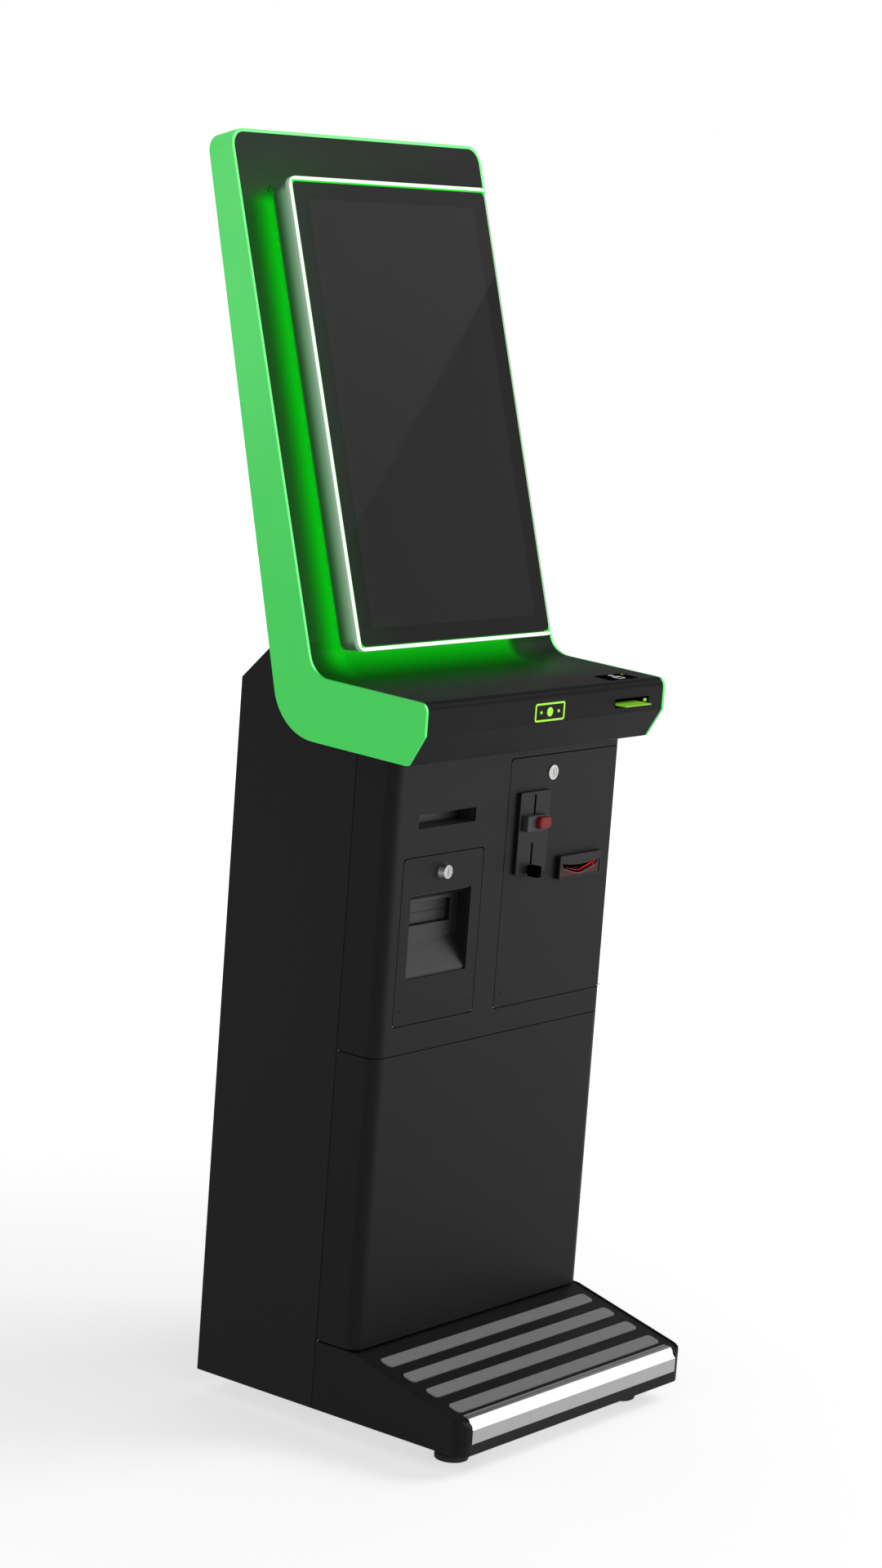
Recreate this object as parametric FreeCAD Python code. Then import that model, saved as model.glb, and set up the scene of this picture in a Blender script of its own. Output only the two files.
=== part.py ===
import FreeCAD, Part
import math
import os
from FreeCAD import Rotation, Vector

# Self-service cash and card terminal.  Millimetres, +Z up, the user stands on the -Y side.
# Origin: on the floor, under the middle of the object's bounding box.

# ---- driving dimensions -------------------------------------------------------------------
SHEET = 3.0               # steel sheet of the cabinet, doors and skins
FIT = 0.2                 # air between pieces that are screwed together, not touching
SEAM = 1.2                # visible seam round a door

CABINET_HALF = 261.0      # half width of the cabinet and of the step
CABINET_BACK = 185.0
CABINET_FRONT = -100.0
CABINET_BOTTOM = 30.0
CABINET_CORNER = 18.0     # radius of the front vertical corners
BACK_TOP = 1034.0         # where the back starts to lean forwards to the head
COVER_REAR = -30.0        # where the front covers meet the side panels
COVER_SPLIT = 545.0       # seam between the upper panel and the lower door
COVER_TOP = 959.0
STEP_TOP = 128.0
SHELF_LEVEL = 552.0
TOP_PLATE_LEVEL = 940.0

STEP_FRONT = -297.7
STEP_NOSE = (-291.0, 79.0)
STEP_SLOPE = math.degrees(math.atan2(STEP_TOP - STEP_NOSE[1], CABINET_FRONT - STEP_NOSE[0]))
STEP_CORNER = 20.0
NOSING_HALF = 240.0
NOSING_FACE = -298.7
NOSING_LOW = 46.0
NOSING_REAR = -283.0

HEAD_HALF = 276.5
LIGHT_PANEL = 5.0         # thickness of the glowing side and top panels
HEAD_CORNER = 27.0
UPRIGHT_TILT = 16.3       # degrees from the vertical
UPRIGHT_FOOT = (46.5, 1055.8)   # where the shelf and the upright would meet without a curve
UPRIGHT_LENGTH = 757.1
UPRIGHT_DEPTH = 41.4      # at the top
SHELF_SLOPE = 2.6
SHELF_FRONT = -156.0
SHELF_NOSE_TOP = 1046.6
HEEL = (96.7, 968.4)
CHIN = (-130.5, 958.5)

SCREEN_CENTRE = 352.7     # up the upright from its foot
SCREEN_PROUD = 44.5
GLASS_HALF = (214.0, 322.5)
GLASS_GAP = 1.6
GLASS_SUNK = 1.5
FRAME_HALF = (221.0, 329.5)
HOUSING_HALF = (210.0, 322.0)
ACTIVE_HALF = (185.0, 299.0)

CASH_DOOR = (-3.0, 247.6, 583.0, 941.0)       # x0, x1, z0, z1
PAYOUT_DOOR = (-229.4, -52.8, 586.0, 820.6)
REAR_DOOR = (-214.0, 214.0, 90.0, 900.0)
DOOR_CORNER = 7.0
OPENING_CORNER = 5.5
NOTCH = (1.4, 4.5)        # width and height of the blind slots over the hinge pins
NOTCH_INSET = 12.6
NOTCH_RISE = 18.0
PIN_RADIUS = 1.0
PIN_FIT = 0.06
RECEIPT_SLOT = (-203.0, -77.5, 860.5, 880.0)
POCKET = (-208.5, -75.5, 650.0, 768.0)
POCKET_DEPTH = 24.0
POCKET_BACK = (696.0, 755.0)                  # z of the pocket's back wall
OUTLET = (-193.0, -89.0, 717.5, 750.0)
PAYOUT_LOCK = (-141.2, 796.3)
CASH_LOCK = (95.9, 914.8)
REAR_LOCK = (-192.0, 500.0)
COIN_PLATE = (17.0, 87.0, 774.0, 892.0)
COIN_SLOT_X = 51.0
COIN_SLOT_WIDTH = 4.4
ENTRY_BLOCK = (27.0, 75.0, 836.0, 858.5)
BUTTON = (46.0, 73.0, 839.5, 856.5)
RETURN_CUP = (45.0, 57.0, 770.0, 786.0)
NOTE_BEZEL = (120.0, 221.0, 757.0, 791.0)
CARD_WINDOW = (155.0, 237.0, 1010.5, 1023.5)
PAD = (166.0, 233.0, 18.0, 49.5)              # x0, x1, and distance back along the shelf
POWER_INLET = (-205.0, -155.0, 42.0, 78.0)
CABLE_ENTRY_Y = 100.0
CABLE_ENTRY_RADIUS = 15.0
STUD_RADIUS = 5.0                             # M10 studs of the feet and the head bolts
HEAD_BOLTS = [(x, y) for x in (-180, 180) for y in (-12, 30)]
ANCHORS = [(x, y) for x in (-190, 190) for y in (0, 140)]
FEET = [(-90, 155), (90, 155), (-197, -233), (197, -233)]


# ---- outlines and simple solids -----------------------------------------------------------
def box(x0, x1, y0, y1, z0, z1):
    return Part.makeBox(x1 - x0, y1 - y0, z1 - z0, Vector(x0, y0, z0))


def rod(x, y, z, radius, length, axis):
    return Part.makeCylinder(radius, length, Vector(x, y, z), Vector(*axis))


def rectangle(bounds, radius=0.0, grow=0.0):
    """Corners (a, b, radius) of a rectangle given as a0, a1, b0, b1."""
    a0, a1, b0, b1 = bounds[0] - grow, bounds[1] + grow, bounds[2] - grow, bounds[3] + grow
    return [(a0, b0, radius), (a1, b0, radius), (a1, b1, radius), (a0, b1, radius)]


def centred(half_a, half_b, centre_b=0.0):
    return (-half_a, half_a, centre_b - half_b, centre_b + half_b)


def rounded_wire(points, place):
    """Closed wire through the corners (a, b, radius), each rounded to its own radius."""
    turns = []
    for index, (a, b, radius) in enumerate(points):
        corner = Vector(a, b, 0)
        back = (Vector(*points[index - 1][:2], 0) - corner).normalize()
        ahead = (Vector(*points[(index + 1) % len(points)][:2], 0) - corner).normalize()
        if radius <= 0:
            turns.append((corner, None, corner))
            continue
        half = back.getAngle(ahead) / 2
        reach = radius / math.tan(half)
        middle = corner + (back + ahead).normalize() * (radius / math.sin(half) - radius)
        turns.append((corner + back * reach, middle, corner + ahead * reach))
    edges = []
    for index, (start, middle, end) in enumerate(turns):
        if middle is not None:
            edges.append(Part.Arc(place(start), place(middle), place(end)).toShape())
        following = turns[(index + 1) % len(turns)][0]
        if (following - end).Length > 1e-6:
            edges.append(Part.LineSegment(place(end), place(following)).toShape())
    return Part.Wire(edges)


def inset(points, distance):
    """The same outline moved inwards: outer corners lose radius and inner ones gain it."""
    count = len(points)
    area = sum(points[i - 1][0] * points[i][1] - points[i][0] * points[i - 1][1] for i in range(count))
    side = 1 if area > 0 else -1
    moved = []
    for index, (a, b, radius) in enumerate(points):
        before = points[index - 1]
        after = points[(index + 1) % count]
        u = Vector(a - before[0], b - before[1], 0).normalize()
        v = Vector(after[0] - a, after[1] - b, 0).normalize()
        normal_u = Vector(-u.y, u.x, 0) * side
        normal_v = Vector(-v.y, v.x, 0) * side
        shift = (normal_u + normal_v) * (distance / (1 + normal_u.dot(normal_v)))
        outer_corner = (u.x * v.y - u.y * v.x) * side > 0
        change = -distance if outer_corner else distance
        moved.append((a + shift.x, b + shift.y, max(radius + change, 0) if radius > 0 else 0))
    return moved


def side_prism(points, x0, x1):
    """Outline in (y, z), carried along X."""
    wire = rounded_wire(points, lambda p: Vector(x0, p.x, p.y))
    return Part.Face(wire).extrude(Vector(x1 - x0, 0, 0))


def front_plate(points, y0, y1):
    """Outline in (x, z), carried along Y."""
    wire = rounded_wire(points, lambda p: Vector(p.x, y0, p.y))
    return Part.Face(wire).extrude(Vector(0, y1 - y0, 0))


def plan_slab(points, z0, z1):
    """Outline in (x, y), carried along Z."""
    wire = rounded_wire(points, lambda p: Vector(p.x, p.y, z0))
    return Part.Face(wire).extrude(Vector(0, 0, z1 - z0))


def turned(points, centre, axis):
    """Solid of revolution of an outline in (radius, height) about a point and axis."""
    wire = rounded_wire(points, lambda p: Vector(p.x, 0, p.y))
    solid = Part.Face(wire).revolve(Vector(0, 0, 0), Vector(0, 0, 1), 360)
    solid.Placement = FreeCAD.Placement(Vector(*centre), Rotation(Vector(0, 0, 1), Vector(*axis)))
    return solid


def rounded_box(bounds, y0, y1, corner, edge):
    """Block facing the user: rounded in the front view and eased round its front face."""
    block = front_plate(rectangle(bounds, corner), y0, y1)
    front_edges = [e for e in block.Edges if abs(e.BoundBox.YMax - y0) < 1e-6]
    return block.makeFillet(edge, front_edges)


def mirrored(solid):
    return solid.mirror(Vector(0, 0, 0), Vector(1, 0, 0))


def group(*solids):
    return Part.makeCompound([part for solid in solids for part in solid.Solids])


# ---- the head's own frames ----------------------------------------------------------------
def on_upright(solid):
    """From a flat drawing (Y into the machine, Z up the upright from its foot) into place."""
    turn = Rotation(Vector(1, 0, 0), -UPRIGHT_TILT)
    solid.Placement = FreeCAD.Placement(Vector(0, *UPRIGHT_FOOT), turn).multiply(solid.Placement)
    return solid


def on_shelf(solid):
    """From a flat drawing (Y back from the nose, Z above the shelf) into place."""
    turn = Rotation(Vector(1, 0, 0), SHELF_SLOPE)
    nose = Vector(0, SHELF_FRONT, SHELF_NOSE_TOP)
    solid.Placement = FreeCAD.Placement(nose, turn).multiply(solid.Placement)
    return solid


def head_profile():
    """Side outline of the head: leaning upright, curved shelf with a rounded nose, and heel."""
    sine = math.sin(math.radians(UPRIGHT_TILT))
    cosine = math.cos(math.radians(UPRIGHT_TILT))
    top_front = (UPRIGHT_FOOT[0] + UPRIGHT_LENGTH * sine, UPRIGHT_FOOT[1] + UPRIGHT_LENGTH * cosine)
    top_back = (top_front[0] + UPRIGHT_DEPTH * cosine, top_front[1] - UPRIGHT_DEPTH * sine)
    return [(*top_back, 3.0), (*HEEL, 80.0), (*CHIN, 4.0), (SHELF_FRONT, 1002.0, 5.0),
            (SHELF_FRONT, SHELF_NOSE_TOP, 13.0), (*UPRIGHT_FOOT, 38.0), (*top_front, 3.0)]


def head_core(half_width, top, corner):
    """Everything between the side panels and under the top panel, as one long block."""
    reach = 400.0
    outline = [(-half_width, -reach, 0), (half_width, -reach, 0),
               (half_width, top, corner), (-half_width, top, corner)]
    return on_upright(front_plate(outline, -reach, reach))


def head_nodes():
    """Glowing surround, black fascia, back cover and the frames that join them."""
    profile = head_profile()
    half = HEAD_HALF - LIGHT_PANEL
    core = head_core(half, UPRIGHT_LENGTH - LIGHT_PANEL, HEAD_CORNER - LIGHT_PANEL)
    outside = head_core(HEAD_HALF, UPRIGHT_LENGTH, HEAD_CORNER)
    surround = side_prism(profile, -HEAD_HALF, HEAD_HALF).common(outside).cut(core)
    top_zone = on_upright(box(-300, 300, -100, 100, UPRIGHT_LENGTH - 30, UPRIGHT_LENGTH + 10))
    left_zone = box(-300, 0, -400, 400, 0, 1900)
    cheeks = surround.cut(top_zone)

    skin_half = half - FIT
    skin = side_prism(profile, -skin_half, skin_half).cut(side_prism(inset(profile, SHEET), -300, 300))
    skin = skin.common(head_core(skin_half, UPRIGHT_LENGTH - LIGHT_PANEL - FIT, HEAD_CORNER - LIGHT_PANEL))
    middle = [(CHIN[0] - 1.5, CHIN[1] - 20), (CHIN[0] + 1.5, CHIN[1] + 20), (70, 1010), (285, 1800)]
    front_zone = side_prism([(y, z, 0) for y, z in middle + [(-400, 1800), (-400, 900)]], -300, 300)
    front_skin = skin.common(front_zone)
    upright_zone = on_upright(box(-300, 300, -60, 60, 45, 800))
    screen_opening = front_plate(rectangle((-150, 150, 200, 520), 10), -5, 20)
    shelf_fascia = front_skin.cut(upright_zone).cut(box(*CARD_WINDOW[:2], -170, -150, *CARD_WINDOW[2:]))
    pad_hole = on_shelf(plan_slab(rectangle(PAD, 2, FIT), -10, 5))

    ribs = []
    for low in (-267.0, 264.0):
        rib = side_prism(inset(profile, SHEET + FIT), low, low + SHEET)
        ribs.append(rib.common(head_core(400, UPRIGHT_LENGTH - HEAD_CORNER - FIT, 0)))
    bolt_holes = group(*[rod(x, y, 900, 6, 100, (0, 0, 1)) for x, y in HEAD_BOLTS])
    return {
        "left_light_panel": cheeks.common(left_zone),
        "right_light_panel": cheeks.cut(left_zone),
        "top_light_panel": surround.common(top_zone),
        "upright_fascia": front_skin.common(upright_zone).cut(on_upright(screen_opening)),
        "shelf_fascia": shelf_fascia.cut(pad_hole),
        "head_back_cover": skin.cut(front_zone).cut(bolt_holes),
        "head_side_frames": group(*ribs),
        "light_strips": light_strips(),
    }


def light_strips():
    """Four bars round the foot of the screen housing and one inside each side panel."""
    width, depth = 4.0, 2.0
    x, z = HOUSING_HALF[0] + 0.6, HOUSING_HALF[1] + 0.6
    bars = []
    for sign in (-1, 1):
        low = x if sign > 0 else -x - width
        bars.append(box(low, low + width, -depth - FIT, -FIT, SCREEN_CENTRE - z, SCREEN_CENTRE + z))
        low = z if sign > 0 else -z - width
        bars.append(box(-x, x, -depth - FIT, -FIT, SCREEN_CENTRE + low, SCREEN_CENTRE + low + width))
        low = 268.0 if sign > 0 else -270.8
        bars.append(box(low, low + 2.8, 8, 16, 60, 700))
    return group(*[on_upright(bar) for bar in bars])


def screen_nodes():
    """Flared housing, white light frame, glass and the display behind it."""
    front = -SCREEN_PROUD

    def ring(half, corner, depth):
        outline = rectangle(centred(*half, SCREEN_CENTRE), corner)
        return rounded_wire(outline, lambda p: Vector(p.x, depth, p.y))

    def slab(half, corner, y0, y1):
        return front_plate(rectangle(centred(*half, SCREEN_CENTRE), corner), y0, y1)

    flare = (FRAME_HALF[0] - 1.0, FRAME_HALF[1] - 1.0)
    wall = 2.5
    outer = Part.makeLoft([ring(HOUSING_HALF, 14, -FIT), ring(flare, 14, front + 8.3)], True, True)
    inner_foot = tuple(value - wall for value in HOUSING_HALF)
    inner_flare = tuple(value - wall for value in flare)
    inner = Part.makeLoft([ring(inner_foot, 11.5, -FIT), ring(inner_flare, 11.5, front + 8.3)], True, True)
    frame_inside = (GLASS_HALF[0] + GLASS_GAP, GLASS_HALF[1] + GLASS_GAP)
    light_frame = slab(FRAME_HALF, 14, front, front + 8.0)
    light_frame = light_frame.cut(slab(frame_inside, 8 + GLASS_GAP, front - 1, front + 9))
    glass_front = front + GLASS_SUNK
    panel = slab((ACTIVE_HALF[0] + 7, ACTIVE_HALF[1] + 8), 3, glass_front + 4.2, front + 20)
    electronics = front_plate(rectangle(centred(140, 150, 360), 6), front + 20, 18.0)
    return {
        "screen_housing": on_upright(outer.cut(inner)),
        "screen_light_frame": on_upright(light_frame),
        "screen_glass": on_upright(slab(GLASS_HALF, 8, glass_front, glass_front + 4)),
        "display_panel": on_upright(panel.fuse(electronics)),
    }


def shelf_nodes():
    """Card slot, contactless pad and emblem on the shelf's nose."""
    x0, x1, z0, z1 = CARD_WINDOW
    liner = front_plate(rectangle(CARD_WINDOW, 0, -FIT), SHELF_FRONT + 0.3, SHELF_FRONT + 14)
    liner = liner.cut(front_plate(rectangle(CARD_WINDOW, 0, -1.5), SHELF_FRONT - 1, SHELF_FRONT + 15))
    reader = box(x0 - 3, x1 + 3, SHELF_FRONT + 14.2, SHELF_FRONT + 115, z0 - 22, z1 + 6)
    throat = box(x0 + 10, x1 - 12, SHELF_FRONT + 10, SHELF_FRONT + 80, z0 + 5.6, z1 - 2)
    lip = [(SHELF_FRONT - 16, z0 + 3.4, 0.5), (SHELF_FRONT - 16, z0 + 5.0, 0.5),
           (SHELF_FRONT + 14, z0 + 5.4, 0), (SHELF_FRONT + 14, z0 + 3.4, 0)]
    lamp = box(x1 - 9, x1 - 3, SHELF_FRONT + 1.5, SHELF_FRONT + 14, z0 + 5.6, z0 + 9.2)
    pad = on_shelf(plan_slab(rectangle(PAD, 2), -14, 0.4))
    return {
        "card_slot_bezel": liner,
        "card_reader": reader.cut(throat),
        "card_guide_lip": side_prism(lip, x0 + 6, x1 - 15),
        "card_lamp": lamp,
        "contactless_reader": pad,
        "emblem": emblem(),
    }


def emblem():
    """A plain banknote outline with a coin in it, standing a little off the nose."""
    middle = 1017.0
    note = rectangle(centred(34, 13, middle), 4)
    frame = front_plate(note, SHELF_FRONT - 0.8, SHELF_FRONT)
    frame = frame.cut(front_plate(inset(note, 2.6), SHELF_FRONT - 1, SHELF_FRONT + 1))
    coin = rod(0, SHELF_FRONT - 0.8, middle, 6.5, 0.8, (0, 1, 0))
    dots = [rod(x, SHELF_FRONT - 0.8, middle, 2.2, 0.8, (0, 1, 0)) for x in (-20, 20)]
    return group(frame, coin, *dots)


# ---- cabinet ------------------------------------------------------------------------------
def cabinet_outline():
    """Side outline of the cabinet behind the front covers, open towards the head."""
    return [(COVER_REAR, CABINET_BOTTOM, 0), (CABINET_BACK, CABINET_BOTTOM, 0),
            (CABINET_BACK, BACK_TOP, 0), (125, 1094, 0), (70, 1000, 0), (COVER_REAR, 985, 0)]


def cover_shell(z0, z1):
    """Front cover: a flat front with rounded corners and two returns to the side panels."""
    rear = COVER_REAR - SEAM
    outline = [(-CABINET_HALF, CABINET_FRONT, CABINET_CORNER), (CABINET_HALF, CABINET_FRONT, CABINET_CORNER),
               (CABINET_HALF, rear, 0), (-CABINET_HALF, rear, 0)]
    inner = [(-CABINET_HALF + SHEET, CABINET_FRONT + SHEET, CABINET_CORNER - SHEET),
             (CABINET_HALF - SHEET, CABINET_FRONT + SHEET, CABINET_CORNER - SHEET),
             (CABINET_HALF - SHEET, rear + 1, 0), (-CABINET_HALF + SHEET, rear + 1, 0)]
    return plan_slab(outline, z0, z1).cut(plan_slab(inner, z0 - 1, z1 + 1))


def door_opening(door, y0, y1):
    """Opening one seam larger than its door; its tighter corners clear the door as it swings."""
    return front_plate(rectangle(door, OPENING_CORNER, SEAM), y0, y1)


def cabinet_nodes():
    """Fixed sheet metal of the cabinet."""
    head_room = side_prism(inset(head_profile(), -0.5), -300, 300)
    inner_half = CABINET_HALF - SHEET
    side = side_prism(cabinet_outline(), inner_half, CABINET_HALF).cut(head_room)
    skin = side_prism(cabinet_outline(), -inner_half + FIT, inner_half - FIT)
    skin = skin.cut(side_prism(inset(cabinet_outline(), SHEET), -300, 300))
    back = skin.common(box(-300, 300, 120, 300, CABINET_BOTTOM + SHEET + FIT, 1200)).cut(head_room)
    back = back.cut(door_opening(REAR_DOOR, CABINET_BACK - 10, CABINET_BACK + 5))
    back = back.cut(front_plate(rectangle(POWER_INLET, 0), CABINET_BACK - 10, CABINET_BACK + 5))
    back = back.cut(group(*rear_pins()))

    base_outline = [(-inner_half, STEP_FRONT + SHEET, STEP_CORNER - SHEET),
                    (inner_half, STEP_FRONT + SHEET, STEP_CORNER - SHEET),
                    (inner_half, CABINET_BACK - FIT, 0), (-inner_half, CABINET_BACK - FIT, 0)]
    base = plan_slab(base_outline, CABINET_BOTTOM, CABINET_BOTTOM + SHEET)
    holes = [rod(x, y, 0, 6.0, 60, (0, 0, 1)) for x, y in ANCHORS]
    holes += [rod(x, y, 0, STUD_RADIUS + FIT, 60, (0, 0, 1)) for x, y in FEET]
    holes.append(rod(0, CABLE_ENTRY_Y, 0, CABLE_ENTRY_RADIUS, 60, (0, 0, 1)))

    top = box(-inner_half + FIT, inner_half - FIT, COVER_REAR + 2, CABINET_BACK - SHEET - FIT,
              TOP_PLATE_LEVEL, TOP_PLATE_LEVEL + SHEET)
    top = top.cut(group(*[rod(x, y, 900, STUD_RADIUS + FIT, 100, (0, 0, 1)) for x, y in HEAD_BOLTS]))
    shelf = box(-inner_half + FIT, inner_half - FIT, COVER_REAR + 5, 150, SHELF_LEVEL, SHELF_LEVEL + SHEET)

    front = cover_shell(COVER_SPLIT + SEAM / 2, COVER_TOP)
    for door in (CASH_DOOR, PAYOUT_DOOR):
        front = front.cut(door_opening(door, CABINET_FRONT - 1, CABINET_FRONT + SHEET + 1))
    front = front.cut(front_plate(rectangle(RECEIPT_SLOT, 0), CABINET_FRONT - 1, CABINET_FRONT + SHEET + 1))
    front = front.cut(group(*door_pins(), *lower_pins()))
    return {
        "left_side_panel": mirrored(side),
        "right_side_panel": side,
        "back_panel": back,
        "base_plate": base.cut(group(*holes)),
        "cabinet_top_plate": top,
        "equipment_shelf": shelf,
        "upper_front_panel": front,
        "head_mount_bolts": group(*[head_bolt(x, y) for x, y in HEAD_BOLTS]),
        "levelling_feet": group(*[levelling_foot(x, y) for x, y in FEET]),
        "hinge_pins": group(*door_pins(), *lower_pins(), *rear_pins()),
    }


def head_bolt(x, y):
    """Bolt with a spacer under the head's sloping floor and a nut above it."""
    bolt = rod(x, y, TOP_PLATE_LEVEL - 6, 8, 6, (0, 0, 1))
    bolt = bolt.fuse(rod(x, y, TOP_PLATE_LEVEL - 3, STUD_RADIUS, 45, (0, 0, 1)))
    spacer = rod(x, y, TOP_PLATE_LEVEL + SHEET, 12, 18.5, (0, 0, 1))
    nut = rod(x, y, 972.0, 9, 8, (0, 0, 1))
    return bolt.fuse(spacer.cut(side_prism(inset(head_profile(), -0.1), -300, 300))).fuse(nut)


def levelling_foot(x, y):
    """Round rubber-shod foot: disc, cone, collar that carries the base plate, stem and nut."""
    outline = [(0, 0, 0), (24, 0, 2), (24, 9, 3), (10, 15, 2), (10, CABINET_BOTTOM, 0), (5, CABINET_BOTTOM, 0),
               (5, CABINET_BOTTOM + SHEET, 0), (9, CABINET_BOTTOM + SHEET, 0),
               (9, CABINET_BOTTOM + SHEET + 7, 1), (5, CABINET_BOTTOM + SHEET + 7, 0), (5, 52, 1), (0, 52, 0)]
    return turned(outline, (x, y, 0), (0, 0, 1))


def horizontal_pins(door):
    """A short pin at each lower corner of a drop-down door, half in the panel."""
    x0, x1, z0, _ = door
    y = CABINET_FRONT + SHEET / 2
    z = z0 + SHEET / 2
    reach = 6.0
    return [rod(x, y, z, PIN_RADIUS, 2 * reach + SEAM, (1, 0, 0)) for x in (x0 - SEAM - reach, x1 - reach)]


def door_pins():
    return horizontal_pins(CASH_DOOR) + horizontal_pins(PAYOUT_DOOR)


def lower_pins():
    """Upright pins in the left return, at the foot and the head of the lower door."""
    x = -CABINET_HALF + SHEET / 2
    y = COVER_REAR - SEAM - SHEET / 2
    return [rod(x, y, z - 7, PIN_RADIUS, 14, (0, 0, 1)) for z in (STEP_TOP, COVER_SPLIT)]


def rear_pins():
    x = REAR_DOOR[1] - SHEET / 2
    y = CABINET_BACK - SHEET / 2
    return [rod(x, y, z - 7, PIN_RADIUS, 14, (0, 0, 1)) for z in REAR_DOOR[2:]]


# ---- step ---------------------------------------------------------------------------------
def step_profile():
    """Side outline of the step: flat under the lower door, then sloping to the nose."""
    return [(COVER_REAR - 1, CABINET_BOTTOM, 0), (COVER_REAR - 1, STEP_TOP, 0), (CABINET_FRONT, STEP_TOP, 30),
            (*STEP_NOSE, 3), (STEP_FRONT, 71, 2), (STEP_FRONT, CABINET_BOTTOM, 0)]


def step_outline(margin):
    half = CABINET_HALF - margin
    front = STEP_FRONT + margin
    corner = STEP_CORNER - margin
    return [(-half, front, corner), (half, front, corner), (half, COVER_REAR - 1, 0), (-half, COVER_REAR - 1, 0)]


def step_nodes():
    """Skirt with two cheeks and a front, sunk tread, grip strips and a metal nosing."""
    profile = side_prism(step_profile(), -300, 300)
    hollow = [(x, y if y < COVER_REAR - 1 else 50, r) for x, y, r in step_outline(SHEET)]
    skirt = plan_slab(step_outline(0), 0, 150).cut(plan_slab(hollow, -1, 151)).common(profile)
    nosing_room = box(-NOSING_HALF, NOSING_HALF, STEP_FRONT - 5, NOSING_REAR, NOSING_LOW - 0.3, 120)
    skirt = skirt.cut(nosing_room).cut(group(*lower_pins()))

    sunk = 1.5
    tread = side_prism([(y, z - sunk, r) for y, z, r in step_profile()], -300, 300)
    tread = tread.cut(side_prism([(y, z - sunk - SHEET, r) for y, z, r in step_profile()], -300, 300))
    tread = tread.common(plan_slab(step_outline(SHEET + FIT), 60, 150)).cut(nosing_room)

    sole = -sunk * math.cos(math.radians(STEP_SLOPE))
    pitch, width, first = 42.6, 22.0, 27.0
    bands = [(first + number * pitch, width, 7.0) for number in range(4)] + [(184.0, 4.4, 2.0)]
    grips = []
    for start, band_width, corner in bands:
        outline = rectangle((-238, 238, start, start + band_width), corner)
        grips.append(on_tread(plan_slab(outline, sole, 0.3)))

    nosing = [(NOSING_REAR - 1, 82.0, 0.5), (-289.5, 80.6, 0.8), (NOSING_FACE, 66.0, 0.8), (NOSING_FACE, NOSING_LOW, 0.8),
              (-294.0, NOSING_LOW, 0), (-286.0, 60.0, 0)]
    bar = side_prism(nosing, -NOSING_HALF + 0.3, NOSING_HALF - 0.3)
    return {"step_skirt": skirt, "tread_plate": tread, "antislip_strips": group(*grips), "step_nosing": bar}


def on_tread(solid):
    """From a flat drawing (Y down the slope from its top, Z off the cheek line) into place."""
    flat = Rotation(Vector(0, 0, 1), 180)
    lean = Rotation(Vector(1, 0, 0), STEP_SLOPE)
    solid.Placement = FreeCAD.Placement(Vector(0, CABINET_FRONT, STEP_TOP), lean.multiply(flat))
    return solid


# ---- locks --------------------------------------------------------------------------------
def lock(x, y, z, cone, proud, outward, cam_angle):
    """Cam lock on a panel whose outer face is at y: body, and barrel with its cam.

    The body is a flange (or cone) with a bore; the barrel turns in it and carries the cam.
    """
    flange, face = cone
    barrel_length, plug = 6.5, 6.5
    outline = [(plug + PIN_FIT, proud, 0.3), (face, proud, 0.8), (flange, 0, 0), (9, 0, 0),
               (9, -barrel_length, 0.4), (plug + PIN_FIT, -barrel_length, 0)]
    body = turned(outline, (x, y, z), (0, outward, 0))
    turn_outline = [(0, proud - 0.3, 0), (plug, proud - 0.3, 0.4), (plug, -barrel_length - 0.5, 0),
                    (3.5, -barrel_length - 0.5, 0), (3.5, -barrel_length - 5, 0), (0, -barrel_length - 5, 0)]
    barrel = turned(turn_outline, (x, y, z), (0, outward, 0))
    face_y = y + outward * (proud - 0.3)
    slot = box(x - 0.8, x + 0.8, face_y - 5, face_y + 5, z - 4.5, z + 4.5)
    cam_back = y - outward * (barrel_length + 1.0)
    cam = front_plate(rectangle((-7, 31, -7, 7), 6.5), *sorted((0, -outward * 2.5)))
    cam.Placement = FreeCAD.Placement(Vector(x, cam_back, z), Rotation(Vector(0, -1, 0), cam_angle))
    return body, barrel.cut(slot).fuse(cam)


def lock_hole(x, z, y):
    return rod(x, y - 8, z, 9.2, 16, (0, 1, 0))


# ---- payout door --------------------------------------------------------------------------
def door_plate(door, pins):
    """Flat door with stiffening flanges down its sides and bored for its hinge pins."""
    x0, x1, z0, z1 = door
    plate = front_plate(rectangle(door, DOOR_CORNER), CABINET_FRONT, CABINET_FRONT + SHEET)
    for low in (x0 + 8, x1 - 10):
        plate = plate.fuse(box(low, low + 2, CABINET_FRONT + SHEET, CABINET_FRONT + 11, z0 + 10, z1 - 10))
    notches = [(low, low + NOTCH[0], z0 + NOTCH_RISE, z0 + NOTCH_RISE + NOTCH[1])
               for low in (x0 + NOTCH_INSET, x1 - NOTCH_INSET - NOTCH[0])]
    plate = plate.cut(group(*[front_plate(rectangle(notch, NOTCH[0] / 2 - 0.05), CABINET_FRONT - 1,
                                          CABINET_FRONT + 1.2) for notch in notches]))
    bores = [rod(*pin.BoundBox.Center, PIN_RADIUS + PIN_FIT, 20, (1, 0, 0)) for pin in pins]
    for bore in bores:
        bore.translate(Vector(-10, 0, 0))
    return plate.cut(group(*bores))


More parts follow.
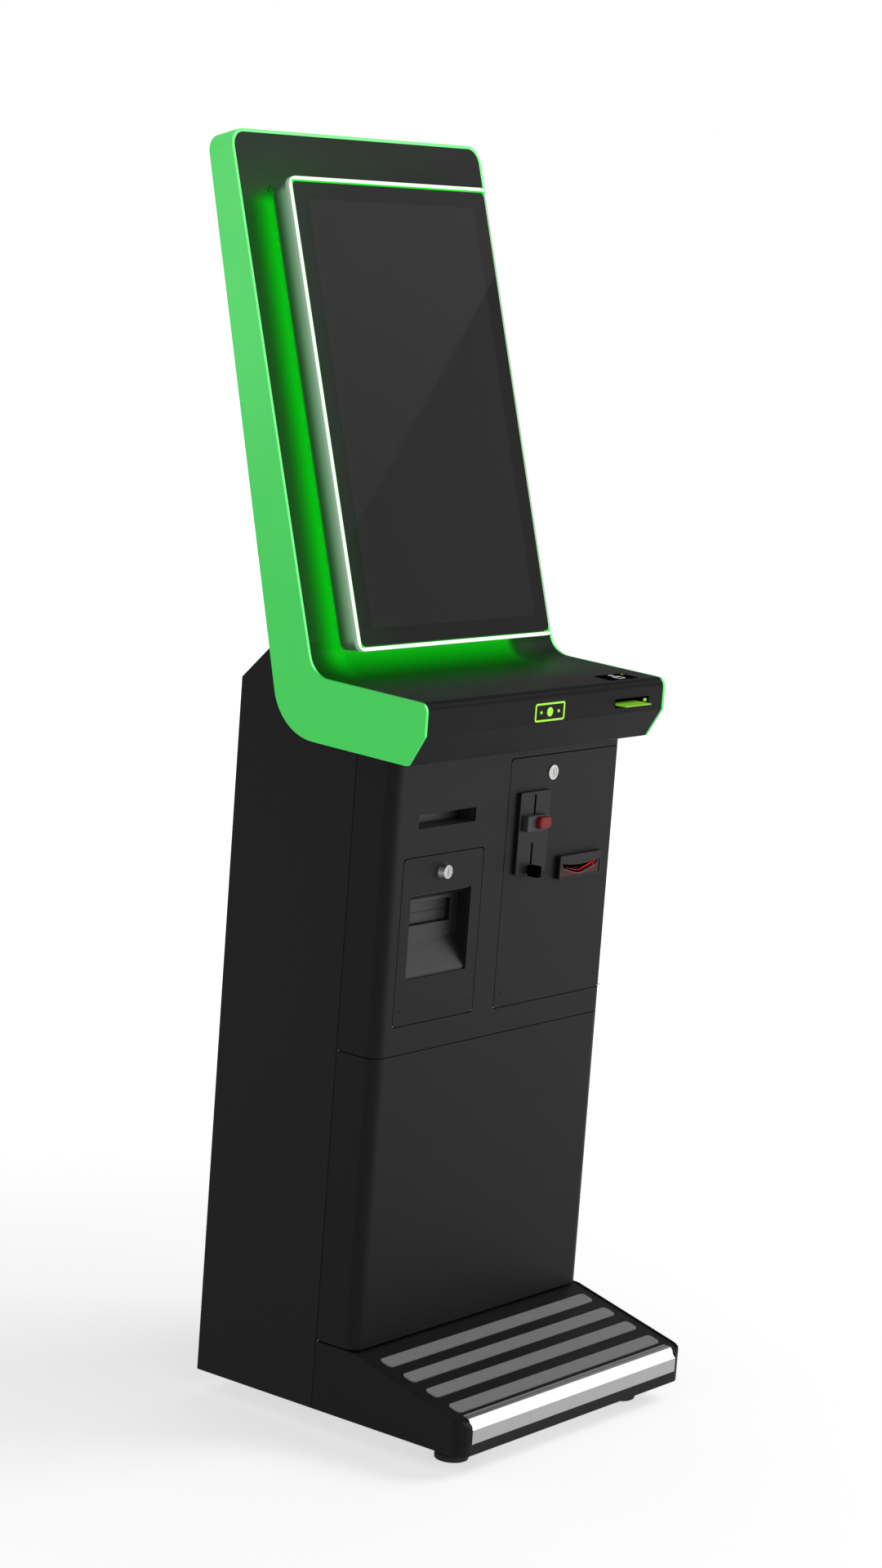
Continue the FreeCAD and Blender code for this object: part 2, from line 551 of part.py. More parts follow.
def payout_nodes():
    """Drop-down payout door with a sunk pocket, a lift-up outlet shutter and its lock."""
    x0, x1, z0, z1 = POCKET
    inside = CABINET_FRONT + SHEET
    back = CABINET_FRONT + POCKET_DEPTH
    opening = box(x0, x1, CABINET_FRONT - 1, inside + 1, z0, z1)
    plate = door_plate(PAYOUT_DOOR, horizontal_pins(PAYOUT_DOOR)).cut(opening)
    plate = plate.cut(lock_hole(*PAYOUT_LOCK, CABINET_FRONT))

    depth = 14.0
    shell = box(x0 - 2, x1 + 2, inside, back + depth, z0 - 2, z1 + 2)
    front_low = z0 + (POCKET_BACK[0] - z0) * SHEET / POCKET_DEPTH
    front_high = z1 - (z1 - POCKET_BACK[1]) * SHEET / POCKET_DEPTH
    cavity = side_prism([(inside - 0.01, front_low, 0), (back, POCKET_BACK[0], 0),
                         (back, POCKET_BACK[1], 0), (inside - 0.01, front_high, 0)], x0, x1)
    outlet = box(OUTLET[0], OUTLET[1], back - 1, back + depth + 1, OUTLET[2], OUTLET[3])
    pocket = shell.cut(cavity).cut(outlet)
    pin_z = OUTLET[3] - 2.5
    pin_y = back + 8.5
    axle = rod(OUTLET[0] - 3, pin_y, pin_z, PIN_RADIUS, OUTLET[1] - OUTLET[0] + 6, (1, 0, 0))
    axle_bore = rod(OUTLET[0] - 3.2, pin_y, pin_z, PIN_RADIUS + PIN_FIT, OUTLET[1] - OUTLET[0] + 6.4, (1, 0, 0))
    flap = front_plate(rectangle((OUTLET[0] + 0.4, OUTLET[1] - 0.4, OUTLET[2] + 0.6, OUTLET[3] - 0.8), 0.8),
                       pin_y - 1.5, pin_y + 1.5)
    groove = box(OUTLET[0], OUTLET[1], pin_y - 2, pin_y - 1, (OUTLET[2] + OUTLET[3]) / 2 - 0.5,
                 (OUTLET[2] + OUTLET[3]) / 2 + 0.5)
    body, barrel = lock(PAYOUT_LOCK[0], CABINET_FRONT, PAYOUT_LOCK[1], (12.5, 9.5), 9.0, -1, 0)
    return {
        "payout_door": plate,
        "payout_pocket": pocket.cut(axle_bore),
        "payout_shutter": flap.cut(groove).fuse(axle),
        "payout_lock_body": body,
        "payout_lock_barrel": barrel,
    }


# ---- cash-in door -------------------------------------------------------------------------
def cash_nodes():
    """Drop-down door that carries the coin validator, the note acceptor and a flush lock."""
    face = CABINET_FRONT
    inside = face + SHEET
    plate = door_plate(CASH_DOOR, horizontal_pins(CASH_DOOR))
    coin_window = front_plate(rectangle(COIN_PLATE, 3, -6), face - 1, inside + 1)
    note_window = front_plate(rectangle(NOTE_BEZEL, 2, -4), face - 1, inside + 1)
    plate = plate.cut(coin_window).cut(note_window).cut(lock_hole(*CASH_LOCK, face))
    body, barrel = lock(CASH_LOCK[0], face, CASH_LOCK[1], (11.2, 11.0), 1.6, -1, 0)
    nodes = {"cash_in_door": plate, "cash_in_lock_body": body, "cash_in_lock_barrel": barrel}
    nodes.update(coin_nodes(face, inside))
    nodes.update(note_nodes(face, inside))
    return nodes


def coin_nodes(face, inside):
    """Coin plate, entry block, reject button, return cup and the validator behind them."""
    plate_face = face - 6.0
    block_face = plate_face - 8.0
    slot_half = COIN_SLOT_WIDTH / 2
    plate = rounded_box(COIN_PLATE, plate_face, face, 2.5, 1.0)
    slots = [box(COIN_SLOT_X - slot_half, COIN_SLOT_X + slot_half, plate_face - 1, face + 1, low, high)
             for low, high in ((ENTRY_BLOCK[3] - 4, 887.5), (787.0, 818.0))]
    button_room = front_plate(rectangle(BUTTON, 5.3, 0.3), block_face - 1, face + 1)
    plate = plate.cut(group(*slots)).cut(button_room)
    block = rounded_box(ENTRY_BLOCK, block_face, plate_face, 1.2, 1.0).cut(button_room)
    button = rounded_box(BUTTON, block_face - 8.0, plate_face + 2.0, 5.0, 3.5)

    x0, x1, z0, z1 = RETURN_CUP
    cup = rounded_box(RETURN_CUP, plate_face - 16, plate_face, 1.5, 1.0)
    cup = cup.cut(box(x0 + 2, x1 - 2, plate_face - 14, plate_face - 1, z0 + 3, z1 + 1))
    cup = cup.cut(box((x0 + x1) / 2 - 2, (x0 + x1) / 2 + 2, plate_face - 17, plate_face - 13, z0 + 8, z1 + 1))

    validator = box(22, 82, inside, inside + 62, 772, 886).cut(group(
        *[box(COIN_SLOT_X - slot_half, COIN_SLOT_X + slot_half, inside - 1, inside + 40, low, high)
          for low, high in ((852, 886.5), (787, 818))]))
    return {"coin_plate": plate, "coin_entry_block": block, "reject_button": button,
            "coin_return_cup": cup, "coin_acceptor": validator}


def note_nodes(face, inside):
    """Note bezel with a smiling mouth, a red lens round it and the acceptor behind."""
    x0, x1, z0, z1 = NOTE_BEZEL
    bezel_face = face - 8.0
    bezel = rounded_box(NOTE_BEZEL, bezel_face, face, 1.5, 1.0)
    lens_zone = (x0 + 4, x1 - 4, z0 + 2, z0 + 22)
    bezel = bezel.cut(front_plate(rectangle(lens_zone, 2), bezel_face - 1, face + 1))
    lens = front_plate(rectangle(lens_zone, 2, -FIT), bezel_face + 1.2, face)
    mouth = [(x0 + 8, z0 + 23, 0), (x0 + 9, z0 + 15, 8), ((x0 + x1) / 2, z0 + 2.5, 60),
             (x1 - 9, z0 + 15, 8), (x1 - 8, z0 + 23, 0)]
    lens = lens.cut(front_plate(mouth, bezel_face - 1, face + 1))
    acceptor = box(x0 + 6, x1 - 6, inside, inside + 155, 700, 830)
    throat = box(x0 + 14, x1 - 14, inside - 1, inside + 60, z0 + 11, z0 + 18)
    return {"note_bezel": bezel, "note_lens": lens, "note_acceptor": acceptor.cut(throat)}


# ---- lower front door and rear service door -----------------------------------------------
def other_doors():
    lower = cover_shell(STEP_TOP + 2.0, COVER_SPLIT - SEAM / 2)
    pin = lower_pins()[0].BoundBox.Center
    lower = lower.cut(rod(pin.x, pin.y, 0, PIN_RADIUS + PIN_FIT, 138, (0, 0, 1)))
    lower = lower.cut(rod(pin.x, pin.y, 536, PIN_RADIUS + PIN_FIT, 20, (0, 0, 1)))

    rear = front_plate(rectangle(REAR_DOOR, DOOR_CORNER), CABINET_BACK - SHEET, CABINET_BACK)
    pin = rear_pins()[0].BoundBox.Center
    for z in REAR_DOOR[2:]:
        rear = rear.cut(rod(pin.x, pin.y, z - 8, PIN_RADIUS + PIN_FIT, 16, (0, 0, 1)))
    for number in range(10):
        low = 690.0 + 14.0 * number
        vent = front_plate(rectangle((-90, 90, low, low + 4), 1.9), CABINET_BACK - 10, CABINET_BACK + 5)
        rear = rear.cut(vent)
    rear = rear.cut(lock_hole(*REAR_LOCK, CABINET_BACK))
    body, barrel = lock(REAR_LOCK[0], CABINET_BACK, REAR_LOCK[1], (11.2, 11.0), 1.6, 1, 90)
    return {"lower_front_door": lower, "rear_service_door": rear, "rear_lock_body": body,
            "rear_lock_barrel": barrel}


# ---- equipment inside ---------------------------------------------------------------------
def inner_nodes():
    """Printer with its paper roll, note dispenser, coin box, computer and power."""
    x0, x1, z0, z1 = RECEIPT_SLOT
    inside = CABINET_FRONT + SHEET
    printer = box(x0 - 9, x1 + 9, inside, 50, z0 - 18, 925)
    printer = printer.cut(box(x0, x1, inside - 1, inside + 30, z0, z1))
    arms = [box(low, low + 5, 50, 120, 885, 915) for low in (x0 + 10, x1 - 15)]
    spindle_y, spindle_z = 108.0, 900.0
    bore = rod(x0, spindle_y, spindle_z, 5 + PIN_FIT, 200, (1, 0, 0))
    printer = printer.fuse(group(*arms)).cut(bore)
    roll = rod(x0 + 16, spindle_y, spindle_z, 38, x1 - x0 - 32, (1, 0, 0))
    roll = roll.fuse(rod(x0 + 9, spindle_y, spindle_z, 5, x1 - x0 - 18, (1, 0, 0)))

    shelf_top = SHELF_LEVEL + SHEET
    base_top = CABINET_BOTTOM + SHEET
    inlet = front_plate(rectangle(POWER_INLET, 3, 4), CABINET_BACK, CABINET_BACK + 2)
    inlet = inlet.fuse(front_plate(rectangle(POWER_INLET, 2, -FIT), CABINET_BACK - 28, CABINET_BACK))
    inlet = inlet.cut(front_plate(rectangle(centred_at(-180, 12, 60, 8), 2), CABINET_BACK - 18, CABINET_BACK + 3))
    return {
        "receipt_printer": printer,
        "paper_roll": roll,
        "note_dispenser": box(-225, -55, -35, 145, shelf_top, 770),
        "coin_box": box(-60, 205, -15, 140, base_top, 235),
        "computer": box(-20, 240, 95, 150, shelf_top, 750),
        "power_supply": box(-205, -75, -10, 140, base_top, 120),
        "power_inlet": inlet,
    }


def centred_at(x, half_x, z, half_z):
    return (x - half_x, x + half_x, z - half_z, z + half_z)


def main():
    os.makedirs("parts", exist_ok=True)
    nodes = {}
    for section in (head_nodes, screen_nodes, shelf_nodes, cabinet_nodes, step_nodes, payout_nodes,
                    cash_nodes, other_doors, inner_nodes):
        nodes.update(section())
    for name, shape in nodes.items():
        clean = shape.removeSplitter()
        if not clean.isValid():
            print("not valid:", name)
        clean.exportStep(f"parts/{name}.step")
        bounds = clean.BoundBox
        print(f"{name:22s} solids {len(clean.Solids)} volume {clean.Volume / 1000:9.1f} cm3 "
              f"y {bounds.YMin:7.1f} {bounds.YMax:7.1f} z {bounds.ZMin:7.1f} {bounds.ZMax:7.1f}")
    print(len(nodes), "nodes")


main()
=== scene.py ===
"""Visual model of a floor-standing cash and card terminal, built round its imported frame."""

import logging
import math
from abc import ABC, abstractmethod
from dataclasses import dataclass, field
from enum import Enum
from typing import Any, Iterable, Sequence, Union

import bpy
import numpy as np
from mathutils import Matrix, Vector


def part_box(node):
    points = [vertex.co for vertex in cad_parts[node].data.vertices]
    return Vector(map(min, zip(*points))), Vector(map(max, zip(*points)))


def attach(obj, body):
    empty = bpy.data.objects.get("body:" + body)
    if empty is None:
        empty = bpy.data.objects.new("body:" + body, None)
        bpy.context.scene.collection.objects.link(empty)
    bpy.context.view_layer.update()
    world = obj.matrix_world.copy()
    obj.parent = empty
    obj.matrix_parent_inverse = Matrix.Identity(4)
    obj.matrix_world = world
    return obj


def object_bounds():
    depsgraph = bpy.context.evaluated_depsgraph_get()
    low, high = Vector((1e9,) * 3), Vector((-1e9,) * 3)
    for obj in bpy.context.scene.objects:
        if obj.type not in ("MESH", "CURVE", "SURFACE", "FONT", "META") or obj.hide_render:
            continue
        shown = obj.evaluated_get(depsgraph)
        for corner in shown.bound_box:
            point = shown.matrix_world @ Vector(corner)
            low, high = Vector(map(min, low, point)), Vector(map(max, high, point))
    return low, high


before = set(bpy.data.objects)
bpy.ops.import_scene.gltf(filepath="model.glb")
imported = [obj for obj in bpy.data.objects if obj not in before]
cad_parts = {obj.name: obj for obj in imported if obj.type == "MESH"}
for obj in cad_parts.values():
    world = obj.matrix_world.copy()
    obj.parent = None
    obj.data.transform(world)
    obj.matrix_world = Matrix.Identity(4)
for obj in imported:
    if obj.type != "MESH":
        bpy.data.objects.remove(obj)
CAD_LOW, CAD_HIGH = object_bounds()

log = logging.getLogger("terminal")

Number = Union[int, float]
Colour = tuple[float, float, float]
Mesh = tuple[np.ndarray, list[list[int]]]
Facing = tuple[Vector, Vector]

# width and height directions of a face; their cross product points out of it
FRONT: Facing = (Vector((1, 0, 0)), Vector((0, 0, 1)))
REAR: Facing = (Vector((-1, 0, 0)), Vector((0, 0, 1)))
TOP: Facing = (Vector((1, 0, 0)), Vector((0, 1, 0)))
BLACK: Colour = (0.0, 0.0, 0.0)


def shade(red: int, green: int, blue: int) -> Colour:
    """Turn a display colour of 0 to 255 a channel into linear light.

    Args:
        red, green, blue: The colour as a screen shows it.

    Returns:
        The linear colour: level / 12.92 near black, and ((level + 0.055) / 1.055)^2.4 above.
    """
    def linear(channel: int) -> float:
        """Linear light of one channel."""
        level = channel / 255
        return level / 12.92 if level <= 0.04045 else ((level + 0.055) / 1.055) ** 2.4
    return (linear(red), linear(green), linear(blue))


# ---- shader expressions -------------------------------------------------------------------
class Value:
    """A socket of a material whose Python operators add Math nodes."""

    def __init__(self, shader: "Shader", socket: bpy.types.NodeSocket) -> None:
        """Wrap one output socket of a shader's tree."""
        self.shader = shader
        self.socket = socket

    def __add__(self, other: "Term") -> "Value":
        """Sum."""
        return self.shader.maths("ADD", self, other)

    def __radd__(self, other: Number) -> "Value":
        """Sum, reflected."""
        return self.shader.maths("ADD", other, self)

    def __sub__(self, other: "Term") -> "Value":
        """Difference."""
        return self.shader.maths("SUBTRACT", self, other)

    def __rsub__(self, other: Number) -> "Value":
        """Difference, reflected."""
        return self.shader.maths("SUBTRACT", other, self)

    def __mul__(self, other: "Term") -> "Value":
        """Product."""
        return self.shader.maths("MULTIPLY", self, other)

    def __rmul__(self, other: Number) -> "Value":
        """Product, reflected."""
        return self.shader.maths("MULTIPLY", other, self)

    def __truediv__(self, other: "Term") -> "Value":
        """Quotient."""
        return self.shader.maths("DIVIDE", self, other)

    def __pow__(self, other: "Term") -> "Value":
        """Power."""
        return self.shader.maths("POWER", self, other)

    def __abs__(self) -> "Value":
        """Size without its sign."""
        return self.shader.maths("ABSOLUTE", self)

    def at_least(self, other: "Term") -> "Value":
        """The larger of two values."""
        return self.shader.maths("MAXIMUM", self, other)

    def at_most(self, other: "Term") -> "Value":
        """The smaller of two values."""
        return self.shader.maths("MINIMUM", self, other)

    def rise(self, low: Number, high: Number) -> "Value":
        """Smooth step from 0 at low to 1 at high, or the other way when low is above high."""
        node = self.shader.node("ShaderNodeMapRange", {"interpolation_type": "SMOOTHSTEP"},
                                {"Value": self, "From Min": low, "From Max": high})
        return Value(self.shader, node.outputs["Result"])


Term = Union[Value, Number]
Paint = Union[Value, Colour]


class Shader:
    """The node tree of one material, filled through one node method and its shorthands."""

    def __init__(self, name: str) -> None:
        """Make an empty material.

        Args:
            name: The material's name.
        """
        self.material = bpy.data.materials.new(name)
        self.material.use_nodes = True
        self.tree = self.material.node_tree
        self.tree.nodes.clear()
        self.output = self.node("ShaderNodeOutputMaterial")
        self.place = self.result("ShaderNodeTexCoord", output="Object")

    def node(self, kind: str, settings: dict[str, Any] | None = None,
             inputs: dict[Union[str, int], Any] | None = None) -> bpy.types.Node:
        """Add a node, set its options first, and then feed its sockets.

        Args:
            kind: The node's type name.
            settings: Attributes of the node; "stops" is a ramp's list of (place, colour).
            inputs: Values or links by socket name or number.

        Returns:
            The new node.
        """
        node = self.tree.nodes.new(kind)
        for key, value in (settings or {}).items():
            if key == "stops":
                self._set_stops(node.color_ramp, value)
            else:
                setattr(node, key, value)
        for key, value in (inputs or {}).items():
            self.feed(node.inputs[key], value)
        return node

    @staticmethod
    def _set_stops(ramp: bpy.types.ColorRamp, stops: Sequence[tuple[float, Colour]]) -> None:
        """Give a ramp its stops, in order."""
        while len(ramp.elements) < len(stops):
            ramp.elements.new(1.0)
        for element, (place, colour) in zip(ramp.elements, stops):
            element.position = place
            element.color = (*colour, 1.0)

    def feed(self, socket: bpy.types.NodeSocket, value: Any) -> None:
        """Link a Value to a socket, or set the socket to a constant."""
        if isinstance(value, Value):
            self.tree.links.new(value.socket, socket)
        elif socket.type == "RGBA":
            socket.default_value = (*value, 1.0)
        else:
            socket.default_value = value

    def result(self, kind: str, settings: dict[str, Any] | None = None,
               inputs: dict[Union[str, int], Any] | None = None, output: Union[str, int] = 0) -> Value:
        """Add a node and return one of its outputs."""
        return Value(self, self.node(kind, settings, inputs).outputs[output])

    def maths(self, operation: str, first: Term, second: Term | None = None) -> Value:
        """Add a Math node for one operation on one or two terms."""
        inputs = {0: first} if second is None else {0: first, 1: second}
        return self.result("ShaderNodeMath", {"operation": operation}, inputs)

    def vector_maths(self, operation: str, first: Value, second: Any = None,
                     output: Union[str, int] = 0) -> Value:
        """Add a Vector Math node."""
        inputs = {0: first} if second is None else {0: first, 1: second}
        return self.result("ShaderNodeVectorMath", {"operation": operation}, inputs, output)

    def axes(self, vector: Value | None = None) -> tuple[Value, Value, Value]:
        """The three parts of a vector, or of the place on the object."""
        node = self.node("ShaderNodeSeparateXYZ", inputs={0: vector or self.place})
        return tuple(Value(self, node.outputs[index]) for index in range(3))

    def length(self, *parts: Term) -> Value:
        """Length of the vector that has these parts."""
        names = dict(enumerate((*parts, 0.0, 0.0, 0.0)[:3]))
        vector = self.result("ShaderNodeCombineXYZ", inputs=names)
        return self.vector_maths("LENGTH", vector, output="Value")

    def on_screen(self) -> tuple[Value, Value, Value]:
        """Place in the leaning screen's own frame: across, into the machine, and up the slope."""
        moved = self.vector_maths("SUBTRACT", self.place, tuple(SCREEN.centre))
        return self.axes(self.result("ShaderNodeMapping", {"vector_type": "POINT"},
                                     {"Vector": moved, "Rotation": (SCREEN.tilt, 0.0, 0.0)}))

    def past(self, across: Value, up: Value, half: tuple[float, float]) -> Value:
        """How far a place on the screen lies past a rectangle about its middle."""
        return (abs(across) - half[0]).at_least(abs(up) - half[1])

    def mix(self, first: Paint, second: Paint, share: Term) -> Value:
        """Colour between two paints, by a share from 0 to 1."""
        settings = {"data_type": "RGBA", "blend_type": "MIX", "clamp_factor": True}
        return self.result("ShaderNodeMix", settings, {0: share, 6: first, 7: second}, 2)

    def ramp(self, share: Value, stops: Sequence[tuple[float, Colour]]) -> Value:
        """Colour picked along a list of stops by a share from 0 to 1."""
        return self.result("ShaderNodeValToRGB", {"stops": stops}, {"Fac": share})

    def noise(self, scale: float, detail: float = 2.0, roughness: float = 0.5,
              vector: Value | None = None) -> Value:
        """Cloudy pattern from 0 to 1 with so many cells to the metre."""
        return self.result("ShaderNodeTexNoise", {"noise_dimensions": "3D"},
                           {"Vector": vector or self.place, "Scale": scale, "Detail": detail,
                            "Roughness": roughness})

    def cells(self, scale: float) -> Value:
        """Distance to the nearest grain centre, with so many grains to the metre."""
        return self.result("ShaderNodeTexVoronoi", {"feature": "F1"},
                           {"Vector": self.place, "Scale": scale}, "Distance")

    def stretched(self, x: float, y: float, z: float) -> Value:
        """Place on the object, scaled by axis, for brushed and drawn patterns."""
        return self.vector_maths("MULTIPLY", self.place, (x, y, z))

    def bump(self, height: Value, depth: float, strength: float = 1.0,
             normal: Value | None = None) -> Value:
        """Normal raised by a height pattern of a given depth in metres."""
        inputs: dict[Union[str, int], Any] = {"Height": height, "Distance": depth, "Strength": strength}
        if normal is not None:
            inputs["Normal"] = normal
        return self.result("ShaderNodeBump", inputs=inputs)

    def eased_edges(self, radius: float) -> tuple[Value, Value]:
        """Normal of edges eased to a radius, and how strongly each point lies on such an edge."""
        eased = self.result("ShaderNodeBevel", {"samples": 4}, {"Radius": radius})
        flat = self.result("ShaderNodeNewGeometry", output="Normal")
        turn = self.vector_maths("DOT_PRODUCT", eased, flat, "Value")
        return eased, (1.0 - turn).rise(0.02, 0.35)

    def surface(self, base: Paint, roughness: Term, normal: Value | None = None,
                glow: Paint | None = None, glow_strength: float = 1.0, metallic: Term = 0.0,
                **constants: float) -> None:
        """Close the tree with one Principled shader.

        Args:
            base: Base colour.
            roughness: Roughness.
            normal: Normal, where a bump or eased edges change it.
            glow: Emission colour.
            glow_strength: Emission strength, the same all over.
            metallic: Metallic share.
            **constants: Other socket values, with underscores for spaces.
        """
        inputs: dict[Union[str, int], Any] = {"Base Color": base, "Roughness": roughness,
                                              "Metallic": metallic}
        if normal is not None:
            inputs["Normal"] = normal
        if glow is not None:
            inputs["Emission Color"] = glow
            inputs["Emission Strength"] = glow_strength
        for key, value in constants.items():
            inputs[key.replace("_", " ")] = value
        shader = self.result("ShaderNodeBsdfPrincipled", inputs=inputs)
        self.tree.links.new(shader.socket, self.output.inputs["Surface"])


# ---- where things are ---------------------------------------------------------------------
@dataclass(frozen=True)
class Screen:
    """The leaning screen's own frame and sizes, in metres, found from the glass."""
    tilt: float = math.radians(16.3)
    glass_thick: float = 0.004
    proud: float = 0.0430
    frame_proud: float = 0.0445
    glass_half: tuple[float, float] = (0.214, 0.3225)
    active_half: tuple[float, float] = (0.185, 0.299)
    housing_half: tuple[float, float] = (0.210, 0.322)

    @property
    def up(self) -> Vector:
        """Direction up the slope of the screen."""
        return Vector((0.0, math.sin(self.tilt), math.cos(self.tilt)))

    @property
    def out(self) -> Vector:
        """Direction out of the glass."""
        return Vector((0.0, -math.cos(self.tilt), math.sin(self.tilt)))

    @property
    def centre(self) -> Vector:
        """Middle of the fascia's face behind the screen.

        The glass's lowest front edge is at its box's least y, and lies above the box's least z
        by the thickness times the sine of the tilt.
        """
        low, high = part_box("screen_glass")
        foot = Vector(((low.x + high.x) / 2, low.y, low.z + self.glass_thick * math.sin(self.tilt)))
        return foot + self.up * self.glass_half[1] - self.out * self.proud

    def point(self, across: float, up: float, out: float = 0.0) -> Vector:
        """Point in the room of a place on the screen's face.

        Args:
            across: Metres to the right of the middle.
            up: Metres up the slope from the middle.
            out: Metres out of the fascia.

        Returns:
            The point.
        """
        return self.centre + Vector((across, 0, 0)) + self.up * up + self.out * out


SCREEN = Screen()


# ---- finishes -----------------------------------------------------------------------------
class Finish(ABC):
    """Something a surface is made of or coated with."""
    name: str

    @abstractmethod
    def paint(self, shader: Shader) -> None:
        """Fill the shader's tree."""

    def material(self) -> bpy.types.Material:
        """The finish as a material, made once."""
        made = bpy.data.materials.get(self.name)
        if made is None:
            shader = Shader(self.name)
            self.paint(shader)
            made = shader.material
        return made


@dataclass(frozen=True)
class PowderCoat(Finish):
    """Fine-textured powder coat on sheet steel, with eased, slightly rubbed edges."""
    name: str = "charcoal_powder_coat"
    colour: Colour = shade(26, 26, 26)
    worn: Colour = shade(48, 48, 49)
    roughness: float = 0.46
    gloss: float = 0.10
    grain: float = 2600.0
    grain_depth: float = 0.00003
    edge: float = 0.0012

    def coat(self, shader: Shader) -> tuple[Value, Value, Value]:
        """Colour, roughness and normal of the coat.

        Fine noise gives the orange-peel grain, wide noise a barely uneven tone, and worn edges
        are a touch lighter and smoother.
        """
        eased, rub = shader.eased_edges(self.edge)
        grain = shader.noise(self.grain, 2.0, 0.6)
        cloud = shader.noise(7.0, 3.0, 0.55)
        rub = rub * shader.noise(90.0, 3.0, 0.7).rise(0.42, 0.66) * 0.5
        dark = tuple(channel * 0.90 for channel in self.colour)
        light = tuple(channel * 1.10 for channel in self.colour)
        tone = shader.mix(dark, light, cloud)
        tone = shader.mix(tone, self.worn, rub)
        roughness = self.roughness + (cloud - 0.5) * 0.10 + (grain - 0.5) * 0.12 - rub * 0.12
        return tone, roughness, shader.bump(grain, self.grain_depth, 0.8, eased)

    def paint(self, shader: Shader) -> None:
        """Powder coat all over."""
        tone, roughness, normal = self.coat(shader)
        shader.surface(tone, roughness, normal, Specular_IOR_Level=self.gloss)


@dataclass(frozen=True)
class HaloCoat(PowderCoat):
    """Powder coat with the green light of the strips round the foot of the screen housing painted on as
    glow.

    The strips run up the left of the housing and along its bottom.  The painted light falls off with the
    distance d to the nearer strip as near * exp(-(d / reach)^2) + far * exp(-d / 4 reach), and
    the distance past a strip's end counts more than twice.  The far part ends before the nose.
    """
    name: str = "fascia_coat_with_painted_green_light"
    colour: Colour = shade(27, 27, 27)
    wash: Colour = shade(13, 255, 30)
    near: float = 0.44
    bottom_share: float = 0.82
    far: float = 0.075
    reach: float = 0.030
    strip_end: float = 0.300
    bottom_end: float = 0.160
    past_end: float = 2.3
    far_light_end: float = 0.16
    dimmed_under_glow: float = 1.6

    def strip_light_share(self, shader: Shader) -> Value:
        """Share of the strips' painted light at each place."""
        across, inward, up = shader.on_screen()
        half_x, half_z = SCREEN.housing_half
        up_past = (up - self.strip_end).at_least(0.0) * self.past_end
        up_short = (-half_z - up).at_least(0.0)
        left = shader.length(across + half_x, up_past + up_short, inward)
        right_past = (across - self.bottom_end).at_least(0.0) * self.past_end
        left_short = (-half_x - across).at_least(0.0)
        bottom = shader.length(right_past + left_short, up + half_z, inward)
        spread = shader.maths("EXPONENT", 0.0 - left.at_most(bottom) / (self.reach * 4.0)) * self.far
        spread = spread * (0.0 - inward).rise(self.far_light_end, self.far_light_end * 0.35)
        close = [shader.maths("EXPONENT", 0.0 - (distance / self.reach) ** 2.0)
                 for distance in (left, bottom)]
        return close[0].at_least(close[1] * self.bottom_share) * self.near + spread

    def paint(self, shader: Shader) -> None:
        """Coat darkened under the strips' light, and that light painted on as glow."""
        tone, roughness, normal = self.coat(shader)
        lit = self.strip_light_share(shader)
        # painted light: the strips' green is painted on as glow, and the coat darkened where it lies
        tone = shader.mix(tone, BLACK, lit * self.dimmed_under_glow)
        shader.surface(tone, roughness, normal, shader.mix(BLACK, self.wash, lit),
                       Specular_IOR_Level=self.gloss)


@dataclass(frozen=True)
class GreenStrip(HaloCoat):
    """Light strip behind the screen housing, its glow fading at its ends by the falloff of the light painted
    on the fascia.
    """
    name: str = "green_light_strip"

    def paint(self, shader: Shader) -> None:
        """Dark lens glowing by that falloff, with a faint row of diodes."""
        diodes = shader.cells(90.0).rise(0.5, 0.1) * 0.2 + 0.9
        glow = shader.mix(BLACK, self.wash, self.strip_light_share(shader) * diodes)
        shader.surface(shade(16, 30, 17), 0.5, None, glow, Specular_IOR_Level=0.1)


@dataclass(frozen=True)
class LitAcrylic(Finish):
    """Frosted green light guide: even light through its sides, brighter from its cut edge."""
    name: str = "lit_green_acrylic"
    side: Colour = shade(58, 186, 78)
    side_high: Colour = shade(95, 210, 112)
    rim: Colour = shade(122, 246, 140)
    core: Colour = (0.02, 0.20, 0.035)
    heights: tuple[float, float] = (1.0, 1.75)
    half_width: float = 0.2765
    corner: float = 0.027
    top: float = 0.4044

    def paint(self, shader: Shader) -> None:
        """Glow by the depth below the outer face.

        The outer face is the rounded rectangle of the head seen square on.  Its distance field
        is length(max(|p| - half + r, 0)) - r, zero on the face and negative in the cut edge.
        The cut edge's brightness is painted by how far it faces up: painted light and shade.
        """
        across, _, up = shader.on_screen()
        past_x = (abs(across) - (self.half_width - self.corner)).at_least(0.0)
        past_z = (up - (self.top - self.corner)).at_least(0.0)
        deep = shader.length(past_x, past_z) - self.corner
        cut = (0.0 - deep).rise(0.0002, 0.0006)
        _, _, height = shader.axes()
        side = shader.mix(self.side, self.side_high, height.rise(*self.heights))
        cloud = shader.noise(5.0, 2.0)
        side = shader.mix(side, tuple(0.88 * part for part in self.side), cloud * 0.5)
        # painted light and shade: the cut edge is brightened or darkened by the way it faces
        facing = shader.axes(shader.result("ShaderNodeNewGeometry", output="Normal"))[2]
        stops = [(0.22, shade(38, 170, 66)), (0.44, shade(62, 226, 92)), (0.54, shade(70, 238, 102)),
                 (0.64, self.rim), (0.85, self.rim), (0.93, shade(60, 190, 84)), (0.99, shade(26, 110, 42))]
        rim = shader.ramp(facing * 0.5 + 0.5, stops)
        frost = shader.noise(2200.0, 2.0)
        shader.surface(self.core, 0.42 + (frost - 0.5) * 0.1,
                       shader.bump(frost, 0.00002), shader.mix(side, rim, cut),
                       Specular_IOR_Level=0.25)


